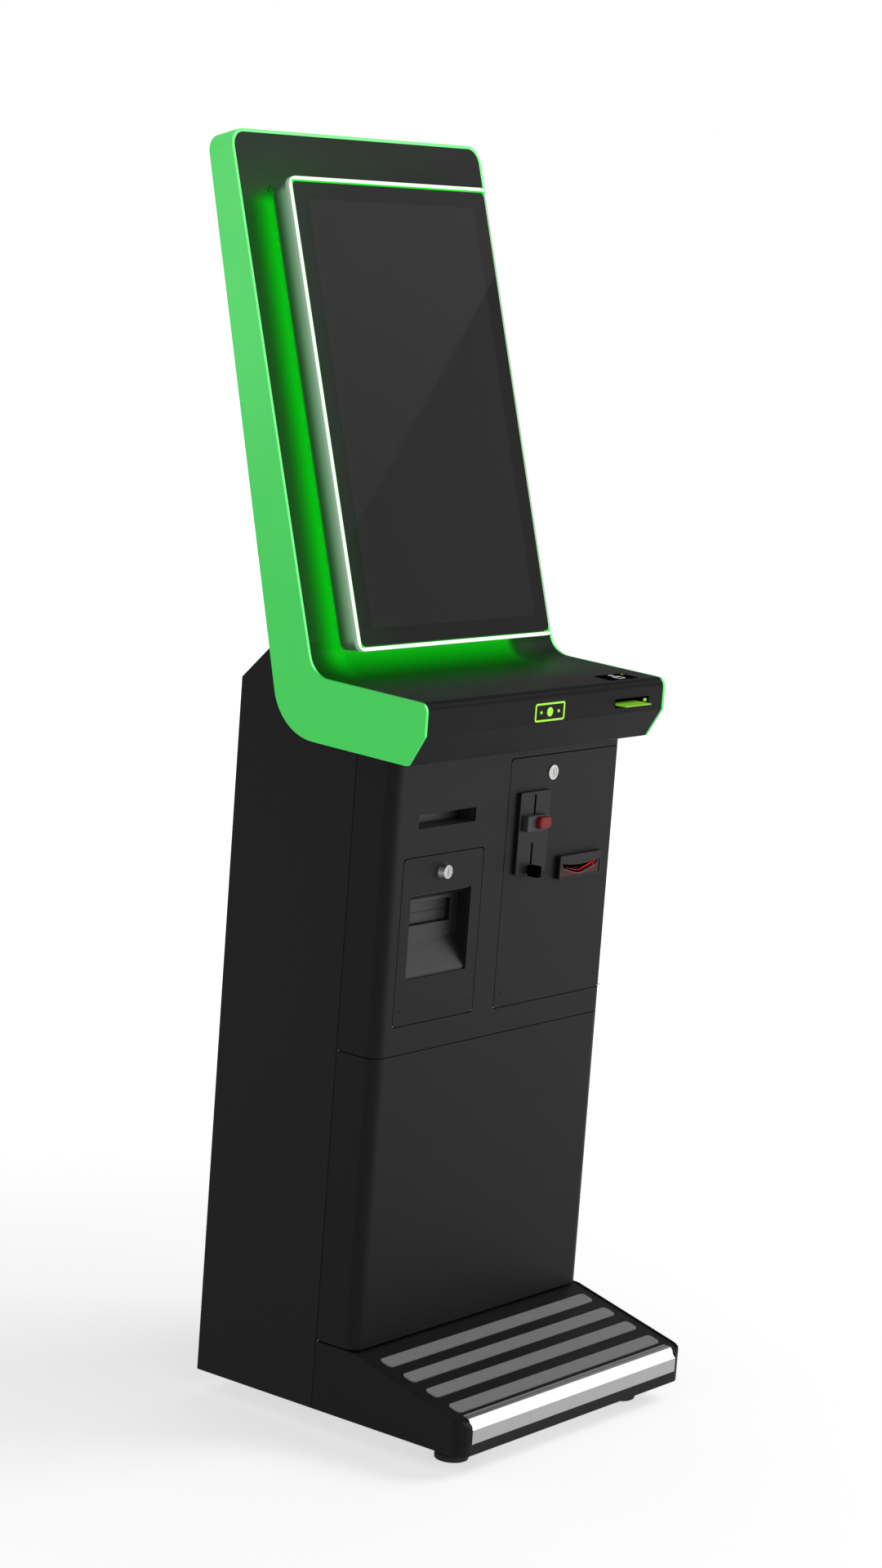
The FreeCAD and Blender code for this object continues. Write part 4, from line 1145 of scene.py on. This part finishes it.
@dataclass
class NoteMouth:
    """Smiling mouth of the note acceptor: tinted rim, upper lip, a glowing inner curve that is a painted red
    reflection on the inner lip, painted glints, and black plates of painted shade.

    The lower curve stands over the lens foot by foot + sqrt(rounding^2 + (slope * x)^2).
    """
    foot: float = 0.0003
    rounding: float = 0.0027
    slope: float = 0.301
    half: float = 0.0405
    rim_radius: float = 0.0007
    light_lift: float = 0.0036
    light_inward: float = 0.0045
    light_span: tuple[float, float] = (-0.029, 0.033)
    light_radii: tuple[float, float] = (0.0003, 0.0009)
    painted_shade_y: float = -0.0985
    painted_shade_plates: tuple[tuple[float, float], ...] = ((0.0045, 0.0038), (0.0183, 0.0019))
    lip_half: float = 0.040
    lip_drop: float = 0.0034
    lip_level: float = 0.0198
    lip_inward: float = 0.0042
    lip_thick: float = 0.0050
    body: str = "cash_in_door"

    def curve(self, low: Vector, centre: float, lift: float, inward: float,
              start: float, end: float) -> list[Vector]:
        """Part of the lower curve, lifted and moved into the machine."""
        across = np.linspace(start, end, 41)
        height = low.z + self.foot + lift + np.sqrt(self.rounding ** 2 + (self.slope * across) ** 2)
        return [Vector((centre + x, low.y + inward, z)) for x, z in zip(across, height)]

    def build(self) -> None:
        """Make the mouth's pieces; each black plate behind it, painted shade inside the mouth, is (level,
        half height).
        """
        low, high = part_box("note_lens")
        centre = (low.x + high.x) / 2
        rim = self.curve(low, centre, -0.0003, 0.0001, -self.half, self.half)
        Part("note_mouth_rim", Finishes.NOTE_RIM, "red_lens", self.body).build(bar(rim, self.rim_radius))
        # painted reflection: a glowing curve for the red light on the inner lower lip
        inner = self.curve(low, centre, self.light_lift, self.light_inward, *self.light_span)
        Part("note_mouth_painted_reflection", Finishes.PAINTED_RED_LIGHT, "red_lens", self.body).build(
            bar(inner, np.linspace(*self.light_radii, len(inner))))
        self.upper_lip(low, centre)
        self.glints(low, centre)
        # painted shade: black plates behind the mouth darken what shows through it
        painted_shade_plates = [pillow(Vector((centre, self.painted_shade_y, low.z + level)), *FRONT, (self.lip_half, tall),
                         0.001, 0.001, 0.0003) for level, tall in self.painted_shade_plates]
        Part("note_mouth_painted_shade", Finishes.GLOSS_BLACK, "black_plastic", self.body).build(*painted_shade_plates)

    def upper_lip(self, low: Vector, centre: float) -> None:
        """Black lip that hangs into the mouth by drop * (1 - (x / half)^2)."""
        across = np.linspace(-self.lip_half, self.lip_half, 33)
        under = -self.lip_drop * (1 - (across / self.lip_half) ** 2)
        outline = list(zip(across, under - 0.0004)) + [(self.lip_half, 0.0005), (-self.lip_half, 0.0005)]
        origin = Vector((centre, low.y + self.lip_inward, low.z + self.lip_level))
        Part("note_upper_lip", Finishes.BLACK, "black_plastic", self.body).build(
            plate(outline, origin, *FRONT, self.lip_thick))

    def glints(self, low: Vector, centre: float) -> None:
        """Short glowing strokes at both ends of the mouth, painted glints, each (x, z, inward, length,
        lean).
        """
        strokes = [(0.0330, 0.0150, 0.0030, 0.0040, 0.35), (0.0370, 0.0138, 0.0030, 0.0034, 1.1),
                   (0.0385, 0.0165, 0.0025, 0.0030, 0.7), (0.0350, 0.0118, 0.0030, 0.0030, 1.3),
                   (-0.0456, 0.0100, 0.0000, 0.0052, 1.5), (-0.0459, 0.0030, 0.0000, 0.0032, 1.55)]
        taper = [0.0001, 0.0004, 0.0005, 0.00055, 0.0005, 0.0004, 0.0001]
        skins = []
        for x, z, inward, length, lean in strokes:
            middle = Vector((centre + x, low.y + inward, low.z + z))
            reach = Vector((math.cos(lean), 0, math.sin(lean))) * length / 2
            skins.append(bar([middle + reach * t for t in np.linspace(-1, 1, len(taper))], taper, 8))
        Part("note_mouth_painted_glints", Finishes.PAINTED_RED_LIGHT, "red_lens", self.body).build(*skins)


@dataclass
class PadPrint:
    """Marks on the contactless pad: a plain card outline, three waves and a small lime tick."""
    slope: float = math.radians(2.6)
    pad_depth: float = 0.0144
    thick: float = 0.00015
    stroke: float = 0.0020
    card: tuple[float, float, float] = (0.0078, 0.0060, 0.0018)
    card_forward: float = 0.0205
    stripe_forward: float = 0.0178
    wave_forward: float = 0.0125
    waves: tuple[float, ...] = (0.0025, 0.0055, 0.0085)
    tick: tuple[float, float] = (0.0250, 0.0295)
    tick_forward: float = 0.0065

    def place(self, across: float, forward: float) -> Vector:
        """Point of the pad's top, right of its middle and forward of its back edge."""
        low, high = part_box("contactless_reader")
        back = Vector(((low.x + high.x) / 2, high.y - self.pad_depth * math.sin(self.slope), high.z))
        return back + Vector((across, -forward * math.cos(self.slope), -forward * math.sin(self.slope)))

    def build(self) -> None:
        """Make the print just above the pad."""
        up = Vector((0, -math.sin(self.slope), math.cos(self.slope)))
        card = rounded_ring(*self.card)
        outline = [self.place(a, self.card_forward - b) for a, b in np.concatenate([card, card[:1]])]
        stripe = [self.place(a, self.stripe_forward) for a in np.linspace(-0.0065, 0.0065, 5)]
        skins = [ribbon(outline, self.stroke, self.thick, up),
                 ribbon(stripe, self.stroke, self.thick * 0.9, up)]
        turns = np.linspace(math.radians(50), math.radians(130), 15)
        for radius in self.waves:
            arc = [self.place(radius * math.cos(t), self.wave_forward - radius * math.sin(t)) for t in turns]
            skins.append(ribbon(arc, self.stroke * 0.8, self.thick, up))
        Part("pad_icon", Finishes.PAD_PRINT, "black_plastic").build(*skins)
        tick = [self.place(a, self.tick_forward) for a in np.linspace(*self.tick, 5)]
        Part("pad_tick", Finishes.EMBLEM, "lime_plastic").build(ribbon(tick, self.stroke, self.thick, up))


@dataclass
class ReceiptTrim:
    """Toothed tear bar under the top of the receipt slot, and the paper that feeds it."""
    pitch: float = 0.0020
    tooth: float = 0.0010
    tall: float = 0.0017
    thick: float = 0.0008
    inset: float = 0.010
    top: float = 0.8795
    inward: float = 0.006
    roll_gap: float = 0.0004
    web_end: tuple[float, float] = (0.051, 0.905)
    web_width: float = 0.078
    web_thick: float = 0.0002

    def build(self) -> None:
        """Make the tear bar, and the web from the roll to the printer.

        The bar's lower edge is a zigzag of the pitch, one tooth deep.
        """
        low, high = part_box("receipt_printer")
        start = low.x + self.inset
        across = np.arange(start, high.x - self.inset, self.pitch / 2)
        drop = np.where(np.arange(len(across)) % 2, self.tooth, 0.0)
        outline = [(x - start, -self.tall + d) for x, d in zip(across, drop)]
        outline += [(across[-1] - start, 0.0), (0.0, 0.0)]
        origin = Vector((start, low.y + self.inward, self.top))
        Part("receipt_tear_bar", Finishes.BLACK, "black_plastic").build(
            plate(outline, origin, *FRONT, self.thick), smooth=False)
        roll_low, roll_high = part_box("paper_roll")
        middle = (roll_low + roll_high) / 2
        radius = (roll_high.z - roll_low.z) / 2 + self.roll_gap
        arc = [middle + Vector((0, -math.sin(t) * radius, math.cos(t) * radius))
               for t in np.linspace(0.1, 1.2, 12)]
        end = Vector((middle.x, *self.web_end))
        path = arc + [arc[-1].lerp(end, t) for t in np.linspace(0.15, 1, 10)]
        Part("receipt_paper_web", Finishes.PAPER, "paper").build(
            ribbon(path, self.web_width, self.web_thick, Vector((0, 0, 1))))


@dataclass
class Fan:
    """Square-cornered cooling fan on a module's face: ring, hub, blades and wire guard."""
    name: str
    centre: Vector
    facing: Facing
    radius: float = 0.036
    depth: float = 0.009
    wire: float = 0.0008
    blades: int = 7
    loops: tuple[float, ...] = (0.30, 0.55, 0.80, 1.02)

    def spoke(self, share: float) -> Vector:
        """Direction square to the fan's axis at a share of a turn."""
        angle = 2 * math.pi * share
        return self.facing[0] * math.cos(angle) + self.facing[1] * math.sin(angle)

    def build(self) -> None:
        """Make the fan's pieces on the cabinet.

        The ring is centre + r * (cos t * u + sin t * v) + h * out for each (r, h) of its wall.
        """
        out = outward(self.facing)
        r, d = self.radius, self.depth
        wall = [(r + 0.0035, 0.0), (r + 0.0035, d - 0.001), (r + 0.0025, d), (r + 0.001, d),
                (r, d - 0.001), (r, 0.0)]
        turn = np.linspace(0, 2 * np.pi, 65)[:, None]
        circle = np.cos(turn) * np.array(self.facing[0]) + np.sin(turn) * np.array(self.facing[1])
        radii, heights = np.array(wall + wall[:1]).T[:, :, None, None]
        ring = np.array(self.centre) + radii * circle[:-1] + heights * np.array(out)
        Part(f"{self.name}_ring", Finishes.BLACK, "module_plastic").build(swept_rings(ring, cap=False))
        hub = [(0.3 * r, 0.0), (0.3 * r, 0.6 * d), (0.26 * r, 0.7 * d), (0.02 * r, 0.72 * d)]
        rotor = [lathe(hub, self.centre, out)]
        for number in range(self.blades):
            along = self.spoke(number / self.blades)
            side = out.cross(along)
            path = [self.centre + along * (0.28 + 0.66 * k) * r + side * (0.14 * k * k * r)
                    + out * (0.32 * d) for k in np.linspace(0, 1, 9)]
            rotor.append(ribbon(path, 0.42 * r, 0.0012, (out + side * 0.55).normalized()))
        Part(f"{self.name}_rotor", Finishes.BLACK, "module_plastic").build(*rotor)
        face = self.centre + out * (d + self.wire)
        guard = [bar(np.array(face) + circle * r * share, self.wire, 8) for share in self.loops]
        for number in range(4):
            along = self.spoke(number / 4 + 0.125)
            guard.append(bar([self.centre + along * r * k + out * (d + 0.0018) for k in (0.25, 0.65, 1.05)],
                             self.wire, 8))
        Part(f"{self.name}_guard", Finishes.NICKEL, "nickel").build(*guard)


@dataclass
class ModuleDetails:
    """Handles, fans, connectors, covers and leads on the modules behind the doors."""
    sockets: tuple[tuple[float, float], ...] = ((0.008, 0.0065), (0.0075, 0.007), (0.0065, 0.003),
                                                (0.0065, 0.003), (0.009, 0.004), (0.0085, 0.0055))
    blue_sockets: tuple[int, int] = (2, 3)
    socket_pitch: float = 0.024
    rib_pitch: float = 0.009
    loom_rise: float = 0.19
    loom_leads: tuple[tuple[float, float], ...] = ((0, 0), (0.008, 0.002), (0.003, -0.006))
    lead_radius: float = 0.0027
    inlet_pins: tuple[tuple[float, float], ...] = ((-0.007, -0.001), (0.0, 0.003), (0.007, -0.001))
    grip_radius: float = 0.005
    roller_gap: float = 0.0095
    cassette_levels: tuple[float, float] = (0.058, 0.158)
    acceptor_screws: tuple[float, float] = (0.021, 0.044)

    def build(self) -> None:
        """Make the details of every module."""
        self.computer()
        self.power()
        self.coin_box()
        self.dispenser()
        self.acceptors()
        self.printer()

    def computer(self) -> None:
        """Fan, sockets and ribs on the side that faces the rear door, and a loom to the head."""
        low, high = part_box("computer")
        Fan("computer_fan", Vector((low.x + 0.070, high.y, (low.z + high.z) / 2)), REAR).build()
        black, blue = [], []
        for number, half in enumerate(self.sockets):
            place = Vector((high.x - 0.022 - self.socket_pitch * number, high.y, low.z + 0.030))
            group = blue if number in self.blue_sockets else black
            group.append(pillow(place, *REAR, half, 0.0012, 0.0022, 0.0006))
        Part("computer_sockets", Finishes.BLACK, "module_plastic").build(*black)
        Part("computer_data_sockets", Finishes.BLUE, "module_plastic").build(*blue)
        ribs = [pillow(Vector((high.x - 0.020 - self.rib_pitch * k, high.y, high.z - 0.060)), *REAR,
                       (0.0016, 0.045), 0.0012, 0.006, 0.001) for k in range(12)]
        Part("computer_cooling_ribs", Finishes.MODULE_STEEL, "module_steel").build(*ribs)
        start = Vector((0.060, (low.y + high.y) / 2, high.z + 0.0005))
        loom = [bar([self.lead(start, t, k, *shift) for t in np.linspace(0, 1, 30)], self.lead_radius)
                for k, shift in enumerate(self.loom_leads)]
        Part("computer_loom", Finishes.CABLE, "module_plastic").build(*loom)

    def lead(self, start: Vector, t: float, number: int, dx: float, dy: float) -> Vector:
        """Place along a lead of the loom, for t from 0 at its foot to 1.

        It rises by rise * t, moves left by 56 mm * (3 t^2 - 2 t^3) and forward by 22 mm * t^2, and
        lead k bows right by 6 mm * k * sin(pi t).
        """
        return (start + Vector((dx * 2, dy, self.loom_rise * t))
                + Vector((-0.056 * t * t * (3 - 2 * t), -0.022 * t * t, 0))
                + Vector((0.006 * math.sin(math.pi * t) * number, 0, 0)))

    def power(self) -> None:
        """Fan, terminal block and screws of the power supply, and the pins of the inlet."""
        low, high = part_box("power_supply")
        Fan("power_fan", Vector((low.x + 0.088, high.y, (low.z + high.z) / 2)), REAR, 0.032).build()
        foot = Vector((low.x + 0.024, high.y, low.z))
        block = pillow(foot + Vector((0, 0, 0.065)), *REAR, (0.010, 0.016), 0.0015, 0.010, 0.001)
        Part("power_terminal_block", Finishes.BLACK, "module_plastic").build(block)
        screws = [screw(foot + Vector((0, 0.010, 0.056 + 0.009 * k)), outward(REAR), 0.0028)
                  for k in range(3)]
        Part("power_terminal_screws", Finishes.NICKEL, "nickel").build(*screws)
        inlet_low, inlet_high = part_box("power_inlet")
        middle = (inlet_low + inlet_high) / 2
        pins = [pillow(Vector((middle.x + x, inlet_high.y - 0.0195, middle.z + z)), *REAR, (0.0009, 0.002),
                       0.0003, 0.0145, 0.0004) for x, z in self.inlet_pins]
        Part("power_inlet_pins", Finishes.NICKEL, "nickel").build(*pins)

    def coin_box(self) -> None:
        """Lid rim, pull handle and lock button on the coin box's front."""
        centre = face_middle("coin_box", FRONT)
        pull = bow(centre + Vector((0, -0.0002, 0.020)), FRONT, 0.055, 0.026)
        Part("coin_box_handle", Finishes.BLACK, "black_plastic").build(bar(pull, self.grip_radius, 16))
        edge = Vector((centre.x, centre.y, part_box("coin_box")[1].z - 0.012))
        rim = pillow(edge, *FRONT, (0.130, 0.010), 0.003, 0.0025, 0.001)
        Part("coin_box_lid_rim", Finishes.MODULE_STEEL, "module_steel").build(rim)
        profile = [(0.009, 0.0), (0.009, 0.003), (0.0082, 0.004), (0.003, 0.0042), (0.0028, 0.0015),
                   (0.0002, 0.0014)]
        button = lathe(profile, centre + Vector((0.095, 0, -0.040)), outward(FRONT))
        Part("coin_box_lock", Finishes.NICKEL, "nickel").build(button)

    def dispenser(self) -> None:
        """Delivery rollers at the outlet and two cassette fronts with grips at the back."""
        low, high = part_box("note_dispenser")
        shutter_low, shutter_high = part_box("payout_shutter")
        level, y = (shutter_low.z + shutter_high.z) / 2, low.y - self.roller_gap
        shaft = [Vector((x, y, level))
                 for x in np.linspace(shutter_low.x + 0.008, shutter_high.x - 0.008, 9)]
        Part("delivery_shaft", Finishes.NICKEL, "nickel").build(bar(shaft, 0.0025, 16))
        wheel = [(0.0026, -0.006), (0.0075, -0.006), (0.008, -0.0055), (0.008, 0.0055),
                 (0.0075, 0.006), (0.0026, 0.006)]
        wheels = [lathe(wheel, shaft[index], Vector((1, 0, 0)), 32) for index in (1, 3, 5, 7)]
        Part("delivery_wheels", Finishes.RUBBER, "foot_rubber").build(*wheels)
        middles = [Vector(((low.x + high.x) / 2, high.y, low.z + rise)) for rise in self.cassette_levels]
        fronts = [pillow(middle, *REAR, (0.078, 0.044), 0.005, 0.005, 0.0015) for middle in middles]
        grips = [bar(bow(middle + Vector((0, 0.0048, 0.010)), REAR, 0.042, 0.020), 0.0045, 16)
                 for middle in middles]
        Part("note_cassette_fronts", Finishes.MODULE, "module_plastic").build(*fronts)
        Part("note_cassette_grips", Finishes.LEVER, "module_plastic").build(*grips)

    def acceptors(self) -> None:
        """Covers, ribs and connectors on the backs of the coin and note acceptors."""
        door = "cash_in_door"
        middle = face_middle("coin_acceptor", REAR)
        cover = pillow(middle, *REAR, (0.026, 0.050), 0.004, 0.002, 0.001)
        Part("coin_acceptor_cover", Finishes.SLATE, "module_plastic", door).build(cover)
        x, z = self.acceptor_screws
        screws = [screw(middle + Vector((x * across, 0.002, z * up)), outward(REAR), 0.0026)
                  for across in (-1, 1) for up in (-1, 1)]
        plug = pillow(middle + Vector((0, 0.002, -0.020)), *REAR, (0.013, 0.005), 0.001, 0.005, 0.0006)
        Part("coin_acceptor_screws", Finishes.NICKEL, "nickel", door).build(*screws)
        Part("coin_acceptor_plug", Finishes.BLUE, "module_plastic", door).build(plug)
        middle = face_middle("note_acceptor", REAR)
        ribs = [pillow(middle + Vector((0, 0, 0.018 * k)), *REAR, (0.040, 0.002), 0.0015, 0.0025, 0.001)
                for k in range(-3, 4)]
        Part("note_acceptor_ribs", Finishes.MODULE, "module_plastic", door).build(*ribs)

    def printer(self) -> None:
        """Head cover and service lever on top of the receipt printer."""
        low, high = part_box("receipt_printer")
        centre = (low.x + high.x) / 2
        cover = pillow(Vector((centre, -0.030, high.z)), *TOP, (0.062, 0.050), 0.006, 0.004, 0.0015)
        Part("printer_head_cover", Finishes.SLATE, "module_plastic").build(cover)
        lever = bow(Vector((centre, 0.034, high.z - 0.0002)), TOP, 0.014, 0.010)
        Part("printer_release_lever", Finishes.LEVER, "module_plastic").build(bar(lever, 0.0025, 12))


@dataclass
class RearDetails:
    """Screws, louvres, filter, blank plate and pull handle at the back."""
    behind: float = 0.6
    head_screw_x: float = 0.255
    head_screws: tuple[float, ...] = (1.16, 1.34, 1.52, 1.70)
    panel_screw_x: float = 0.236
    panel_screws: tuple[float, ...] = (0.07, 0.30, 0.55, 0.80, 0.98)
    louvres_foot: float = 1.50
    louvre_pitch: float = 0.020
    louvre_half: float = 0.100
    louvre_tall: float = 0.007
    louvre_proud: float = 0.004
    louvre_end: float = 0.006
    pull_half: float = 0.050
    pull_proud: float = 0.024
    pull_radius: float = 0.005

    def build(self) -> None:
        """Make the pieces seen from behind."""
        self.screws()
        self.louvres()
        low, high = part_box("rear_service_door")
        foam = pillow(Vector((0, low.y - 0.0020, 0.755)), *REAR, (0.096, 0.073), 0.004, 0.0017, 0.0003)
        Part("rear_vent_filter", Finishes.FOAM, "black_plastic", "rear_door").build(foam)
        lock_low, lock_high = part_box("rear_lock_body")
        upright: Facing = (Vector((0, 0, 1)), Vector((1, 0, 0)))
        grip = Vector((lock_low.x + 0.045, high.y - 0.0002, (lock_low.z + lock_high.z) / 2))
        pull = bar(bow(grip, upright, self.pull_half, self.pull_proud), self.pull_radius, 16)
        Part("rear_door_pull", Finishes.BLACK, "black_plastic", "rear_door").build(pull)
        face = face_middle("back_panel", REAR).y
        blank = pillow(Vector((0.150, face, 0.060)), *REAR, (0.035, 0.018), 0.003, 0.0006, 0.0002)
        Part("rear_blank_plate", Finishes.NICKEL, "nickel").build(blank)

    def screws(self) -> None:
        """Screw heads down both sides of the head's back cover and of the back panel."""
        columns = (("head_back_cover", self.head_screw_x, self.head_screws),
                   ("back_panel", self.panel_screw_x, self.panel_screws))
        skins = [screw(*on_surface(node, Vector((x, self.behind, height)), -outward(REAR)))
                 for node, half, heights in columns for height in heights for x in (-half, half)]
        Part("rear_screws", Finishes.ZINC, "zinc_steel").build(*skins)

    def louvres(self) -> None:
        """Hooded louvres on the head's back cover, each a quarter-ellipse hood along X, with a black strip
        of painted shade under it.

        A hood's section at angle t is tall * cos t up the cover and proud * sin t out of it, and
        both shrink by a square root over the last millimetres of its length.
        """
        half = self.louvre_half
        across = np.linspace(-half, half, 25)[:, None, None]
        ease = np.minimum(1.0, (half - np.abs(across)) / self.louvre_end + 0.02) ** 0.5
        turn = np.linspace(math.pi / 2, 0, 9)
        rise = np.append(self.louvre_tall * np.cos(turn), 0.0)[None, :, None]
        proud = np.append(self.louvre_proud * np.sin(turn), -0.0002)[None, :, None]
        hoods, shade_strips = [], []
        for number in range(9):
            start = Vector((0, self.behind, self.louvres_foot + self.louvre_pitch * number))
            place, out = on_surface("head_back_cover", start, -outward(REAR))
            up = Vector((1, 0, 0)).cross(out)
            spine = np.array(place) + across * np.array((1.0, 0.0, 0.0))
            hoods.append(swept_rings(spine + ease * (rise * np.array(up) + proud * np.array(out))))
            # painted shade: a black strip under each hood stands for the dark opening
            shade_strips.append(pillow(place - up * 0.0012, Vector((-1, 0, 0)), up, (half - 0.004, 0.0010),
                               0.0004, 0.0004, 0.0002))
        Part("head_louvres", Finishes.COAT, "charcoal_coat").build(*hoods)
        Part("head_louvre_painted_shade", Finishes.GLOSS_BLACK, "black_plastic").build(*shade_strips)


# ---- room ---------------------------------------------------------------------------------
@dataclass
class Studio:
    """Pale floor, soft lights, the cards that shiny faces show, and the camera."""
    eye: Vector = field(default_factory=lambda: Vector((-4.09354, -3.15533, 1.7593)))
    azimuth: float = -0.91025
    elevation: float = 0.16701
    roll: float = 0.07445
    lens: float = 84.79
    floor_half: float = 40.0
    floor_tones: tuple[float, float] = (0.78, 0.82)
    floor_glows: tuple[float, float] = (0.56, 0.90)
    painted_dim_pool: tuple[float, float] = (0.7, 3.2)
    felt_grey: float = 0.36
    softbox: tuple[float, float, float] = (3.97, -2.57, 3.70)
    front_light: tuple[float, float, float] = (1.6, -5.4, 0.0)
    chamfer: tuple[float, float] = (0.846, 0.533)

    def camera(self) -> None:
        """Place the camera by its angles: it looks against the direction called back."""
        a, e = self.azimuth, self.elevation
        back = Vector((math.sin(a) * math.cos(e), -math.cos(a) * math.cos(e), math.sin(e)))
        right = Vector((0, 0, 1)).cross(back).normalized()
        up = back.cross(right)
        turned_right = right * math.cos(self.roll) + up * math.sin(self.roll)
        turned_up = up * math.cos(self.roll) - right * math.sin(self.roll)
        data = bpy.data.cameras.new("camera")
        data.lens = self.lens
        data.sensor_width = 36.0
        data.clip_end = 120.0
        camera = bpy.data.objects.new("camera", data)
        camera.matrix_world = Matrix.Translation(self.eye) @ Matrix(
            (turned_right, turned_up, back)).transposed().to_4x4()
        bpy.context.scene.collection.objects.link(camera)
        bpy.context.scene.camera = camera

    def world(self) -> None:
        """White to the camera and a dimmer soft grey to everything else."""
        world = bpy.data.worlds.new("studio")
        bpy.context.scene.world = world
        world.use_nodes = True
        tree = world.node_tree
        tree.nodes.clear()
        path = tree.nodes.new("ShaderNodeLightPath")
        choice = tree.nodes.new("ShaderNodeMixShader")
        output = tree.nodes.new("ShaderNodeOutputWorld")
        tree.links.new(path.outputs["Is Camera Ray"], choice.inputs[0])
        for socket, grey in ((1, self.felt_grey), (2, 1.0)):
            background = tree.nodes.new("ShaderNodeBackground")
            background.inputs["Color"].default_value = (grey, grey, grey, 1)
            tree.links.new(background.outputs[0], choice.inputs[socket])
        tree.links.new(choice.outputs[0], output.inputs[0])

    def floor(self) -> None:
        """A wide plain pale floor whose glow is painted a little dimmer round the machine, painted shade."""
        half = self.floor_half
        mesh = bpy.data.meshes.new("studio_floor")
        mesh.from_pydata([(-half, -half, 0), (half, -half, 0), (half, half, 0), (-half, half, 0)],
                         [], [(0, 1, 2, 3)])
        shader = Shader("pale_floor")
        cloud = shader.noise(0.6, 2.0)
        tone = shader.mix(*((grey,) * 3 for grey in self.floor_tones), cloud)
        x, y, _ = shader.axes()
        # painted shade: the floor's glow is less near the machine
        far = shader.length(x, y).rise(*self.painted_dim_pool)
        glow = shader.mix(*((grey,) * 3 for grey in self.floor_glows), far)
        shader.surface(tone, 0.9, None, glow, 1.0, Specular_IOR_Level=0.0)
        mesh.materials.append(shader.material)
        floor = bpy.data.objects.new("studio_floor", mesh)
        bpy.context.scene.collection.objects.link(floor)
        floor.visible_diffuse = False

    def lamp(self, name: str, place: Vector, aim: Vector, size: tuple[float, float],
             power: float) -> None:
        """A soft rectangular light.

        Args:
            name: Its name.
            place: Where it stands.
            aim: The point that it faces.
            size: Width and height in metres.
            power: Watts.
        """
        data = bpy.data.lights.new(name, "AREA")
        data.shape = "RECTANGLE"
        data.size, data.size_y = size
        data.energy = power
        lamp = bpy.data.objects.new(name, data)
        lamp.location = place
        lamp.rotation_euler = (aim - place).to_track_quat("-Z", "Y").to_euler()
        bpy.context.scene.collection.objects.link(lamp)

    def card(self, name: str, corners: Sequence[Vector], out: Vector, stretch: float,
             low: float, high: float) -> None:
        """A lit card placed where a shiny face shows it.

        A point G of the face shows what lies on the line from the eye's mirror image E' through
        G, so each corner of the card is E' + stretch * (G - E').

        Args:
            name: Its name.
            corners: Points of the face, or of its plane, that the card's corners show at.
            out: Direction out of the face.
            stretch: How far off the card stands, as a multiple of the eye's own distance.
            low: Brightness at its foot.
            high: Brightness at its head.
        """
        mirrored = self.eye - 2 * (self.eye - corners[0]).dot(out) * out
        points = [mirrored + stretch * (corner - mirrored) for corner in corners]
        mesh = bpy.data.meshes.new(name)
        mesh.from_pydata([tuple(point) for point in points], [], [tuple(range(len(points)))])
        shader = Shader(name)
        _, _, height = shader.axes()
        bottom, top = min(p.z for p in points), max(p.z for p in points)
        fade = ((height - bottom) / (top - bottom)).rise(0.0, 0.8)
        shader.surface(BLACK, 1.0, None, shader.mix((low,) * 3, (high,) * 3, fade))
        mesh.materials.append(shader.material)
        card = bpy.data.objects.new(name, mesh)
        card.visible_camera = False
        card.visible_diffuse = False
        card.visible_shadow = False
        bpy.context.scene.collection.objects.link(card)

    def cards(self) -> None:
        """The card whose slanting edge shows in the glass, and the one on the step's nosing."""
        half_x, half_z = SCREEN.glass_half
        slant = [(-half_x * 1.3, -half_z * 0.74), (half_x * 1.3, half_z * 0.80),
                 (half_x * 1.3, half_z * 1.3), (-half_x * 1.3, half_z * 1.3)]
        self.card("screen_card", [SCREEN.point(x, z, SCREEN.proud) for x, z in slant], SCREEN.out,
                  1.6, 0.40, 0.51)
        low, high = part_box("step_nosing")
        middle = Vector((0.0, low.y + 0.0045, high.z - 0.010))
        forward, upward = self.chamfer
        along, rise = Vector((1, 0, 0)), Vector((0, upward, forward))
        spread = [(-0.75, -0.16), (0.75, -0.16), (0.75, 0.30), (-0.75, 0.30)]
        self.card("nosing_card", [middle + along * x + rise * z for x, z in spread],
                  Vector((0.0, -forward, upward)), 1.45, 4.0, 4.0)

    def build(self) -> None:
        """Set the whole room up."""
        bpy.context.scene.view_settings.view_transform = "Standard"
        self.camera()
        self.world()
        self.floor()
        middle = (CAD_LOW + CAD_HIGH) / 2
        self.lamp("softbox", middle + Vector(self.softbox), middle, (3.0, 3.0), 105.0)
        self.lamp("front_light", middle + Vector(self.front_light), middle, (3.0, 2.0), 60.0)
        self.cards()


def main() -> None:
    """Build the room, then the terminal in order."""
    logging.basicConfig(level=logging.INFO, format="%(name)s: %(message)s")
    Studio().build()
    Head().dress()
    Cabinet().dress()
    Equipment().dress()
    for detail in (KeySlots(), NoteMouth(), PadPrint(), ReceiptTrim(), ModuleDetails(), RearDetails()):
        detail.build()


if __name__ == "__main__":
    main()
